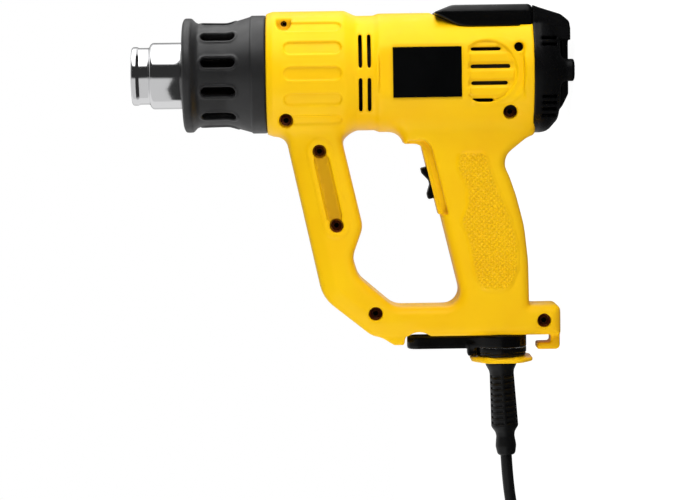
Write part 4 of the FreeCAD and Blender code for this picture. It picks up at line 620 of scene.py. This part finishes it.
def padField():
    # the housing's own surface lifted by a dot's height: the product of a sine along and a sine across
    axes = axesIn(padSet)
    body, grip = housingField(False, axes)[3]
    x, z = axes[0][:, None, None], axes[2][None, None, :]
    wave = 2 * math.pi / padSet["dotPitch"]
    dots = np.maximum(np.sin(x * wave) * np.sin(z * wave), 0) ** 0.7
    fade = np.clip(-(grip + padSet["inset"]) / 0.8, 0, 1)
    pad = np.maximum(body - padSet["lift"] - dots * fade * padSet["dotHeight"], -(body + padSet["depth"]))
    # painted shade: the ground between the dots is tinted towards the wells' brown
    dotGroundShade = (1 - dots) * fade * padSet["tint"] + 0 * body
    return np.maximum(pad, grip + padSet["inset"]).astype(np.float32), axes, {"deep": dotGroundShade.astype(np.float32)}


for nodeName in ("housing_left", "housing_right"):
    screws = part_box(nodeName)[0].y < -0.005    # the screws go in from the -Y side
    flip, pieceName = screws, "shellNear" if screws else "shellFar"
    field, axes, extras, _ = housingField(screws)
    piece = skinOf(pieceName, field, axes, housingSet["pitch"], yellow, extras, flip, 0.01)
    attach(piece, "gun")
    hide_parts(nodeName)
    field, axes, extras = padField()
    pad = skinOf("gripPadNear" if screws else "gripPadFar", field, axes, padSet["pitch"], yellow, extras, flip)
    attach(pad, "gun")
print("housing halves made")


# ---- nose collar: rolled front rim, slotted waist, flare and back band
collarSet = {
    "pitch": 0.6, "box": ((-37.5, 38), (-37.5, 38), (179.5, 233)), "slots": 11, "turn": 283.8, "slotHalf": 2.9,
    "slotFrom": 197.9, "slotTo": 217.9, "waist": 30.5, "bore": 25.5,
    "profile": [(21.4, 229.3), (31.6, 229.3, 0.6), (34.1, 228.2, 1.7), (34.1, 223.9, 2.2), (30.9, 220.9, 4),
                (30.5, 202.5, 12), (34.4, 189.4, 9), (34.5, 188.9, 0.2), (35.2, 188.5, 0.6), (35.2, 179.65, 1.0),
                (31.8, 179.65), (31.8, 187), (27.4, 195.5), (27.4, 224.8, 2), (21.4, 225.8)],
}


def collarField():
    # a turned profile; evenly turned stadium slots go through its wall, each with a raised border
    axes = axesIn(collarSet)
    x, y, z = spread(axes)
    radius = np.sqrt(x * x + y * y)
    body = turnedField(collarSet["profile"], radius, axes[2])
    step = 360 / collarSet["slots"]
    around = np.degrees(np.arctan2(y, x)) - collarSet["turn"]
    arc = np.radians(around - np.round(around / step) * step) * collarSet["waist"]
    middle = (collarSet["slotFrom"] + collarSet["slotTo"]) / 2
    half = (collarSet["slotTo"] - collarSet["slotFrom"]) / 2 - collarSet["slotHalf"]
    slot = np.hypot(arc, np.maximum(np.abs(z - middle) - half, 0)) - collarSet["slotHalf"]
    body = raised(body, slot - 1.2, 0.5, 1.1)
    body = softMax(body, -np.maximum(slot, collarSet["bore"] - radius), 0.9)
    return body, axes


def turnedPiece(name, profile, material, around=128, place=None):
    # a closed (radius, along) profile carried round the barrel axis, or round another that place turns it to
    turns = np.linspace(0, 2 * math.pi, around, endpoint=False)
    profile = np.array(profile, float)
    count = len(profile)
    points = np.stack([profile[:, 0, None] * np.cos(turns), profile[:, 0, None] * np.sin(turns),
                       np.broadcast_to(profile[:, 1, None], (count, around))], 2).reshape(-1, 3)
    points = points if place is None else place(points)
    row, column = np.meshgrid(np.arange(count), np.arange(around), indexing="ij")
    nextRow, nextColumn = (row + 1) % count, (column + 1) % around
    faces = np.stack([row * around + column, row * around + nextColumn,
                      nextRow * around + nextColumn, nextRow * around + column], 2).reshape(-1, 4)
    mesh = bpy.data.meshes.new(name)
    mesh.from_pydata(toWorld(points), [], faces.tolist())
    mesh.polygons.foreach_set("use_smooth", np.ones(len(faces), bool))
    mesh.materials.append(material)
    piece = linked(name, mesh)
    return piece


field, axes = collarField()
collar = skinOf("heatCollar", field, axes, collarSet["pitch"], plastics["collarBlack"])
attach(collar, "gun")
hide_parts("nose_collar")

# ---- nozzle: rounded shoulder, narrower lip and a bead rolled at its edge
nozzleSet = {
    "outline": [(19.8, 141), (19.8, 244.6), (19.8, 248.4, 2.6), (16.9, 249.6, 1.2), (16.9, 255.4, 1.5),
                (17.5, 257.0, 1.0), (17.5, 260, 1.4), (15.7, 260, 0.8), (15.7, 249.4, 1.0), (18.8, 247, 1.0),
                (18.8, 141)],
}
nozzle = turnedPiece("nozzleTube", roundedOutline(nozzleSet["outline"]), chrome)
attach(nozzle, "gun")
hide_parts("nozzle_tube")
print("collar and nozzle made")


# ---- screws: a washer face, a domed head and a socket painted black as shade in each well
screwSet = {"washer": 3.6, "head": 2.7, "dome": 1.3, "socket": 1.3, "floor": 0.2, "shank": 1.6, "length": 9.0,
            "around": 32}


def makeScrews():
    # each screw is a profile turned about its own line across the gun, all of them in one mesh
    washer, head, dome, socket, floor, shank, length, around = screwSet.values()
    profile = np.array([(0, floor), (socket * 0.8, floor), (socket, dome), (head * 0.8, dome * 0.8), (head, 0.2),
                        (washer - 0.2, 0), (washer, -0.4), (washer, -1.6), (shank, -1.6), (shank, -length),
                        (0, -length)])
    radius, out = profile[:, 0, None], profile[:, 1, None]
    turns = np.linspace(0, 2 * math.pi, around, endpoint=False)
    row, column = np.meshgrid(np.arange(len(profile) - 1), np.arange(around), indexing="ij")
    after = (column + 1) % around
    faces = np.stack([row * around + column, row * around + after,
                      (row + 1) * around + after, (row + 1) * around + column], 2).reshape(-1, 4)
    # painted shade: the socket's points, the first three rings of the profile, are marked for near-black colour
    socketShadeMask = np.repeat((np.arange(len(profile)) < 3).astype(float), around)
    allPoints, allFaces = [], []
    for index, (wellX, wellZ, face) in enumerate(housingSet["screws"].values()):
        points = np.stack([wellX + radius * np.cos(turns), housingSet["wellDepth"] - face - out + 0 * turns,
                           wellZ + radius * np.sin(turns)], 2)
        allFaces.append(faces + index * len(profile) * around)
        allPoints.append(points.reshape(-1, 3))
    socketShadeMask = np.tile(socketShadeMask, len(allPoints)).astype(np.float32)
    mesh = bpy.data.meshes.new("wellScrews")
    mesh.from_pydata(toWorld(np.vstack(allPoints)), [], np.vstack(allFaces).tolist())
    mesh.attributes.new("socket", "FLOAT", "POINT").data.foreach_set("value", socketShadeMask)
    work = bmesh.new()
    work.from_mesh(mesh)
    bmesh.ops.remove_doubles(work, verts=work.verts, dist=1e-6)
    bmesh.ops.recalc_face_normals(work, faces=work.faces)
    work.to_mesh(mesh)
    work.free()
    mesh.materials.append(screwMetal)
    piece = linked("wellScrews", mesh)
    return piece


screws = makeScrews()
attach(screws, "gun")
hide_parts("housing_screws")

# ---- rocker: two raised lobes with a valley between, and its flanks inside the plate
rockerSet = {"pitch": 0.4, "middle": (-65.5, 81.74), "turn": math.atan2(-23.0, -96.9), "halfWidth": 6.3,
             "edge": 0.7,
             "side": [(-9.6, -4), (-9.6, 4.9, 0.8), (-6.4, 4.9, 1.5), (-1.2, 1.9, 2.5), (1.2, 1.9, 2.5),
                      (6.4, 4.9, 1.5), (9.6, 4.9, 0.8), (9.6, -4)]}


def placedOutline(corners, middle, turn):
    # corners given along a tilted face and out of it, turned to the gun's (x, z)
    c, s = math.cos(turn), math.sin(turn)
    return [(middle[0] + c * along + s * out, middle[1] + s * along - c * out, *bend)
            for along, out, *bend in corners]


def slabField(outline, axes, halfWidth, edge):
    # a side view's outline pushed out to both sides
    flat = outlineDistance(outline, axes[0], axes[2]).astype(np.float32)[:, None, :]
    return pushed(flat, np.abs(spread(axes)[1]), halfWidth, edge)


rockerSide = roundedOutline(placedOutline(rockerSet["side"], rockerSet["middle"], rockerSet["turn"]))
axes = [np.arange(low - 2, high + 2, rockerSet["pitch"]) for low, high in
        zip((rockerSide[:, 0].min(), -rockerSet["halfWidth"], rockerSide[:, 1].min()),
            (rockerSide[:, 0].max(), rockerSet["halfWidth"], rockerSide[:, 1].max()))]
rockerBody = slabField(rockerSide, axes, rockerSet["halfWidth"], rockerSet["edge"])
rocker = skinOf("rockerCap", rockerBody, axes, rockerSet["pitch"], plastics["blackSmooth"])
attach(rocker, "rocker")
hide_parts("switch_rocker")

# ---- strain relief: flared head, ribbed taper with a plain line down each side, and a smooth sleeve
reliefSet = {
    "pitch": 0.4, "box": ((-11, 11.1), (-11, 11.1), (-1.2, 62.5)), "from": (-173.6, 41.5),
    "lean": math.radians(2.7),
    "profile": [(3.6, 0), (9.4, 0, 0.6), (9.4, 2.4, 1.5), (7.6, 6.0, 3), (7.3, 8), (8.2, 40.0, 2), (5.9, 43.6, 3),
                (5.5, 46, 3), (6.3, 52, 6), (5.3, 57.4, 2), (4.6, 57.5, 0.3), (3.6, 57.5)],
    "ribs": 9, "ribFrom": 9.6, "ribPitch": 3.5, "ribHalf": 0.75, "ribDepth": 1.1, "lineHalf": 0.9,
}


def reliefField():
    # a turned profile; ribs are grooves round it, left whole along two lines at its sides
    axes = axesIn(reliefSet)
    x, y, z = spread(axes)
    radius = np.sqrt(x * x + y * y)
    body = turnedField(reliefSet["profile"], radius, axes[2])
    phase = (z - reliefSet["ribFrom"]) / reliefSet["ribPitch"]
    near = np.abs(phase - np.clip(np.round(phase), 0, reliefSet["ribs"] - 1)) * reliefSet["ribPitch"]
    groove = np.maximum(near - reliefSet["ribHalf"], reliefSet["lineHalf"] - np.abs(x))
    groove = np.maximum(groove, reliefSet["lineHalf"] - np.abs(y) * np.ones_like(radius))
    return sunk(body, groove, reliefSet["ribDepth"], 0.7), axes


def alongGland(points):
    # the gland's own axes (x towards the nozzle, z out of the base) to the gun's, with the relief's small lean
    c, s = math.cos(reliefSet["lean"]), math.sin(reliefSet["lean"])
    turned = np.stack([points[:, 0] * c - points[:, 2] * s, points[:, 1], points[:, 0] * s + points[:, 2] * c], 1)
    return np.stack([reliefSet["from"][0] - turned[:, 2], turned[:, 1], reliefSet["from"][1] + turned[:, 0]], 1)


reliefBody, axes = reliefField()
relief = skinOf("strainRelief", reliefBody, axes, reliefSet["pitch"], plastics["cordRubber"], place=alongGland)
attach(relief, "gun")
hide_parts("strain_relief")

# ---- painted shade behind the vents: dark sheets, a drum inside the barrel and a plate each side of the tail cap
ventShadeSet = {"barrel": (29.6, 30.2, 23.5, 60), "plate": ((-26.8, 21.5), (13.2, 14.0), (8.2, 21.5))}
inner, outer, low, high = ventShadeSet["barrel"]
drum = [(outer, low), (outer, high), (inner, high), (inner, low)]
ventShadeSheets = [turnedPiece("ventShadeDrum", drum, plastics["innerPlastic"], 96)]
plateX, plateY, plateZ = ventShadeSet["plate"]
for side in (-1, 1):
    corners = [(x, side * y, z) for x in plateX for y in plateY for z in plateZ]
    faces = [(0, 1, 3, 2), (4, 6, 7, 5), (0, 4, 5, 1), (2, 3, 7, 6), (0, 2, 6, 4), (1, 5, 7, 3)]
    mesh = bpy.data.meshes.new("capShadePlate")
    mesh.from_pydata(toWorld(np.array(corners, float)), [], faces if side > 0 else [face[::-1] for face in faces])
    mesh.materials.append(plastics["innerPlastic"])
    plate = linked("capShadePlateNear" if side < 0 else "capShadePlateFar", mesh)
    ventShadeSheets.append(plate)
for ventShadeSheet in ventShadeSheets:
    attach(ventShadeSheet, "gun")
print("screws, rocker, relief and liners made")

# ---- tail cap: rounded drum, rail down its middle, two feet, intake slits and the slanted panel
capSet = {
    "pitch": 0.5, "box": ((-39, 41), (-39, 39.5), (-3.5, 24)), "wall": 2.4, "join": 22.15, "room": 34, "floor": 9.0,
    "panelTop": (38.0, 22.2), "panelDown": (-0.5053, -0.8629), "railHalf": 13.0, "wedgeHalf": 24.0,
    "drum": [(0, 6.0), (29, 6.0, 6), (36.2, 12.5, 7), (37, 17), (37, 22.15), (0, 22.15)],
    "wedge": [(18, 22.15), (38, 22.15), (25.2, 0.3, 1.5), (18, 0.3)],
    "cheek": [(18, 22.15), (38.3, 22.15), (38.0, 21.0, 2), (33.0, 5.6, 6), (28.6, 0.3, 4), (18, 0.3)],
    "cheekFrom": 17.6, "cheekTo": 24.0, "footAside": 24, "footDish": 4.6,
    "rail": [(-24.0, 22.15), (-24.0, 13, 3), (-22.6, 4.6, 4), (-14, 0.3, 5), (22, 0.3), (22, 22.15)],
    "foot": [(0, -2), (5.2, -2), (6.6, -1.4, 0.9), (6.6, 3.4, 3), (9.6, 10.5, 2), (9.6, 14), (0, 14)],
    "slits": (-26.3, -22.6, -18.9, -15.2, 15.2, 18.9), "slitHalf": 0.85, "slitFrom": 8.2, "slitTo": 17.4,
    "slitInner": 14.5,
    "screen": (10.5, 5.3, 11.3), "buttons": (21.7, 9.0, 3.6, 6.85),
}


def capField():
    # a turned drum melted with a rail, a wedge, a cheek and two feet, then the panel's windows, slits and room
    axes = axesIn(capSet)
    x, y, z = spread(axes)
    q, radius = np.abs(y), np.sqrt(x * x + y * y)
    body = turnedField(capSet["drum"], radius, axes[2])
    side = sideField(capSet["rail"], axes)
    rail = pushed(side, q, capSet["railHalf"], 2.4)
    rail = sunk(rail, np.maximum(np.abs(side + 5.0) - 0.7, 9 - q), 0.9, 0.5)
    body = softMin(body, rail, 2.0)
    body = softMin(body, pushed(sideField(capSet["wedge"], axes), q, capSet["wedgeHalf"], 1.2), 1.5)
    middle, half = (capSet["cheekTo"] + capSet["cheekFrom"]) / 2, (capSet["cheekTo"] - capSet["cheekFrom"]) / 2
    body = softMin(body, pushed(sideField(capSet["cheek"], axes), np.abs(q - middle), half, 1.2), 1.5)
    fromFoot = np.sqrt(x * x + (q - capSet["footAside"]) ** 2)
    foot = sunk(turnedField(capSet["foot"], fromFoot, axes[2]), fromFoot - capSet["footDish"], 0.9, 0.4)
    body = softMin(body, foot, 2.5)

    # the slanted panel: a raised border round the screen, then its window and the two buttons' holes
    (topX, topZ), (downX, downZ) = capSet["panelTop"], capSet["panelDown"]
    alongPanel = (x - topX) * downX + (z - topZ) * downZ
    outOfPanel = (x - topX) * -downZ + (z - topZ) * downX
    middle, half, across = capSet["screen"]
    window = np.maximum(np.abs(alongPanel - middle) - half, q - across)
    body = raised(body, np.maximum(np.abs(window - 1.6) - 0.7, np.abs(outOfPanel) - 3), 0.4, 0.5)
    whole = body
    body = np.maximum(body, -np.maximum(window, -3.1 - outOfPanel))
    middle, aside, half, across = capSet["buttons"]
    button = np.maximum(np.abs(alongPanel - middle) - half, np.abs(q - aside) - across)
    body = np.maximum(body, -np.maximum(button, -4.3 - outOfPanel))
    middle, half = (capSet["slitFrom"] + capSet["slitTo"]) / 2, (capSet["slitTo"] - capSet["slitFrom"]) / 2
    for place in capSet["slits"]:
        slit = np.maximum(np.abs(x - place) - capSet["slitHalf"], capSet["slitInner"] - q)
        body = softMax(body, -np.maximum(slit, np.abs(z - middle) - half), 0.5)
    room = np.maximum(np.maximum(whole + capSet["wall"], z - capSet["join"] - 2), radius - capSet["room"])
    body = np.maximum(body, -np.maximum(room, capSet["floor"] - z))
    return np.maximum(body, z - capSet["join"]), axes


capBody, axes = capField()
cap = skinOf("tailCap", capBody, axes, capSet["pitch"], plastics["blackShell"], adaptivity=0.01)
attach(cap, "gun")
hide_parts("rear_cap")

# ---- top cover: a low hood with sloped shoulders and a pointed nose
coverSet = {"pitch": 0.6, "box": ((24.5, 41.5), (-26, 26.5), (20.5, 83.5)), "halfWidth": 24.0, "shoulder": 3.6,
            "top": 39.4,
            "side": [(26.4, 22.5), (26.4, 65, 18), (34.9, 80.9, 0.8), (39.4, 69.5, 10), (39.4, 24.2, 1),
                     (38, 22.5)]}


def coverField():
    # a side view pushed out to both sides, with a 45 degree plane laid on each shoulder
    axes = axesIn(coverSet)
    body = slabField(roundedOutline(coverSet["side"]), axes, coverSet["halfWidth"], 0.9)
    x, y = axes[0][:, None, None], np.abs(axes[1])[None, :, None]
    shoulder = ((x - coverSet["top"]) + (y - coverSet["halfWidth"]) + coverSet["shoulder"]) / math.sqrt(2)
    return softMax(body, (shoulder + 0 * body).astype(np.float32), 1.2), axes


coverBody, axes = coverField()
cover = skinOf("topCover", coverBody, axes, coverSet["pitch"], plastics["blackSmooth"])
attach(cover, "gun")
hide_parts("control_cover")

# ---- fold-out stand: round hub on the base's post, thick arm with a rounded end
standSet = {
    "pitch": 0.5, "box": ((-173, -156), (-17.5, 18), (24, 100.5)), "base": -157.8, "gland": 41.5, "hubRadius": 15.4,
    "hubThick": 7.6, "bore": 11.1, "armHalf": 6.3, "armThick": 8.2, "armEnd": 98.0, "clear": 15.6,
    "toe": (57.0, 4.7, 8.4, 4.2),
    "retainer": [(11.1, 165.42), (15.35, 165.42, 0.1), (15.35, 168.2, 0.3), (14.9, 168.5, 0.3), (14.9, 170.7, 1.0),
                 (8.3, 170.7), (8.3, 173.5), (7.0, 173.5), (7.0, 168.0), (11.1, 168.0)],
}
ringSet = {
    "pitch": 0.4, "box": ((-174.6, -169.6), (-28, 28.4), (-20.4, 20.8)), "middle": -172.1, "half": 1.1, "bore": 8.4,
    "outline": [(18.4, -11.9, 12), (10.1, -26.5, 9), (-10.1, -26.5, 9), (-18.4, -11.9, 12), (-18.4, 11.9, 12),
                (-10.1, 26.5, 9), (10.1, 26.5, 9), (18.4, 11.9, 12)],
    "window": [(-9, 12.6, 2), (9, 12.6, 2), (12, 17.8, 4), (8.2, 23.1, 3), (-8.2, 23.1, 3), (-12, 17.8, 4)],
}


def standField():
    # a hub and an arm with a sunk face, each a plan pushed out from the base, and a toe that steps off the base
    axes = axesIn(standSet)
    x, y, z = spread(axes)
    depth = standSet["base"] - x    # 0 at the face next to the base
    gland, hubHalf, armHalf = standSet["gland"], standSet["hubThick"] / 2, standSet["armThick"] / 2
    fromHub = np.hypot(y, z - gland)
    hub = pushed(fromHub - standSet["hubRadius"], np.abs(depth - hubHalf), hubHalf, 0.8)
    line = capsule(y, z, (0, gland + 12), (0, standSet["armEnd"] - standSet["armHalf"]), standSet["armHalf"])
    arm = pushed(line, np.abs(depth - armHalf), armHalf, 1.6)
    arm = sunk(arm, np.maximum(line + 2.2, gland + 19 - z), 0.9, 0.6)
    body = softMin(hub, arm, 5.0)
    thick = np.where(z > gland + standSet["clear"], standSet["armThick"], standSet["hubThick"])
    body = np.maximum(body, np.maximum(-depth, depth - thick))
    middle, half, centre, deep = standSet["toe"]
    block = np.maximum(np.abs(z - middle) - half, np.abs(y) - standSet["armHalf"])
    body = softMin(body, pushed(block, np.abs(depth - centre), deep, 1.0), 1.2)
    body = np.maximum(body, np.where(depth > standSet["hubThick"], standSet["clear"] - fromHub, -3))
    return np.maximum(body, standSet["bore"] - fromHub + 0 * x), axes


def ringField():
    # an eight-cornered plate with a bore and a window each side of it
    axes = axesIn(ringSet)
    x, y, z = spread(axes)
    flat = outlineDistance(roundedOutline(ringSet["outline"]), axes[2], axes[1]).T
    for side in (-1, 1):
        window = [(across, side * along, bend) for across, along, bend in ringSet["window"]]
        flat = np.maximum(flat, -outlineDistance(roundedOutline(window), axes[2], axes[1]).T)
    flat = np.maximum(flat, ringSet["bore"] - np.hypot(axes[1][:, None], axes[2][None, :]))
    axes[2] = axes[2] + standSet["gland"]
    plate = pushed(flat.astype(np.float32)[None, :, :], np.abs(x - ringSet["middle"]), ringSet["half"], 0.7)
    return plate + 0 * (y + z), axes


standBody, axes = standField()
stand = skinOf("foldStand", standBody, axes, standSet["pitch"], plastics["blackSmooth"])
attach(stand, "stand")
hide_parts("kickstand")



def outOfBase(points):
    # the barrel's axis turned to the gland's, which points out of the base
    return np.stack([-points[:, 2], points[:, 1], points[:, 0] + standSet["gland"]], 1)


retainer = turnedPiece("standRetainer", roundedOutline(standSet["retainer"]), plastics["blackSmooth"], 96,
                       outOfBase)
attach(retainer, "gun")
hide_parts("stand_retainer")
ringBody, axes = ringField()
ring = skinOf("hangRing", ringBody, axes, ringSet["pitch"], yellowTrim)
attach(ring, "ring")
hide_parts("hang_ring")
print("cap, cover and stand made")


# ---- stage, lights and world
stageSet = {
    "floorSize": 3.0, "floorPlain": 0.8, "floorShown": 0.22, "floorGlow": 0.95, "floorTurn": (0.0, 0.3),
    "topPower": 13.5, "lowPower": 9.2, "frontPower": 1.85,
    "roomLevel": 0.03, "behindLevel": 0.5, "behindTurn": (-0.15, 0.35), "mirrorLevel": 0.75,
    "mirrorTurn": (-0.1, 0.2), "mirrorEdge": (0.8, 0.93), "mirrorFall": 0.3, "aboveLevel": 2.2,
    "aboveTurn": (0.62, 0.74), "belowLevel": 0.6, "belowTurn": (-0.06, -0.2),
}


def grey(level):
    return level, level, level, 1


def makeFloor():
    # white where it is seen, plain where it lights the object; mirrored, it is bright behind and dim in front
    size = stageSet["floorSize"]
    mesh = bpy.data.meshes.new("floor")
    mesh.from_pydata([(-size, -size, 0), (size, -size, 0), (size, size, 0), (-size, size, 0)], [], [(0, 1, 2, 3)])
    floor = linked("floor", mesh)
    material = bpy.data.materials.new("paleFloor")
    material.use_nodes = True
    tree = material.node_tree
    tree.nodes.clear()
    plain = nodeOf(tree, "BsdfDiffuse", {"Color": grey(stageSet["floorPlain"])}).outputs[0]
    shown = nodeOf(tree, "BsdfDiffuse", {"Color": grey(stageSet["floorShown"])}).outputs[0]
    glow = nodeOf(tree, "Emission", {"Strength": stageSet["floorGlow"]}).outputs[0]
    both = nodeOf(tree, "AddShader", {0: shown, 1: glow}).outputs[0]
    rays = nodeOf(tree, "LightPath").outputs
    seen = mathNode(tree, "MAXIMUM", rays["Is Camera Ray"], rays["Is Transmission Ray"])
    place, levels = placeOf(tree)["Y"], (stageSet["roomLevel"], stageSet["mirrorLevel"])
    rear = mapRange(tree, place, *stageSet["floorTurn"], *levels)
    mirror = nodeOf(tree, "Emission", {"Strength": rear}).outputs[0]
    unseen = nodeOf(tree, "MixShader", {0: rays["Is Glossy Ray"], 1: plain, 2: mirror}).outputs[0]
    mix = nodeOf(tree, "MixShader", {0: seen, 1: unseen, 2: both}).outputs[0]
    nodeOf(tree, "OutputMaterial", {0: mix})
    mesh.materials.append(material)


def makeWorld():
    # seen directly, or mirrored from behind the object, the backdrop is white; the room in front is dim
    world = bpy.data.worlds.new("studio")
    bpy.context.scene.world = world
    world.use_nodes = True
    tree = world.node_tree
    tree.nodes.clear()
    toward = placeOf(tree)
    room = stageSet["roomLevel"]
    behind = mapRange(tree, toward["Y"], *stageSet["behindTurn"], room, stageSet["behindLevel"])
    rear = mapRange(tree, toward["Y"], *stageSet["mirrorTurn"], room, stageSet["mirrorLevel"])
    fall = mapRange(tree, toward["Y"], *stageSet["mirrorEdge"], 1, stageSet["mirrorFall"])
    rear = mathNode(tree, "MULTIPLY", rear, fall)
    above = mapRange(tree, toward["X"], *stageSet["aboveTurn"], 0, stageSet["aboveLevel"])
    below = mapRange(tree, toward["X"], *stageSet["belowTurn"], 0, stageSet["belowLevel"])
    glossy = mathNode(tree, "MAXIMUM", rear, mathNode(tree, "MAXIMUM", above, below))
    rays = nodeOf(tree, "LightPath").outputs
    level = mathNode(tree, "MAXIMUM", rays["Is Camera Ray"], rays["Is Transmission Ray"])
    mirrored = mathNode(tree, "MULTIPLY", rays["Is Glossy Ray"], glossy)
    strength = mathNode(tree, "MAXIMUM", mathNode(tree, "MAXIMUM", level, mirrored),
                        mathNode(tree, "MULTIPLY", rays["Is Diffuse Ray"], behind))
    background = nodeOf(tree, "Background", {"Color": grey(1), "Strength": strength}).outputs[0]
    nodeOf(tree, "OutputWorld", {0: background})


def softbox(name, place, target, width, height, power):
    # a lit rectangle that faces the target
    data = bpy.data.lights.new(name, "AREA")
    data.shape = "RECTANGLE"
    data.size = width
    data.size_y = height
    data.energy = power
    lamp = linked(name, data)
    facing = (Vector(place) - Vector(target)).to_track_quat("Z", "X").to_matrix().to_4x4()
    lamp.matrix_world = Matrix.Translation(place) @ facing
    return lamp


makeFloor()
makeWorld()
middle = spot(-80, 0, 130)
topSoftbox = softbox("topSoftbox", (0.85, -0.36, 0.16), middle, 0.5, 1.2, stageSet["topPower"])
lowSoftbox = softbox("lowSoftbox", (-0.90, -0.42, 0.32), middle, 0.45, 1.2, stageSet["lowPower"])
frontFill = softbox("frontFill", (-0.05, -1.9, 0.5), middle, 1.0, 1.0, stageSet["frontPower"])
# mirrored, the two long softboxes are the world's bright bands instead
topSoftbox.visible_glossy = lowSoftbox.visible_glossy = False
frontFill.visible_glossy = False    # fills the shade, and leaves black and bright metal dark towards the front
print("stage, lights and world ready")
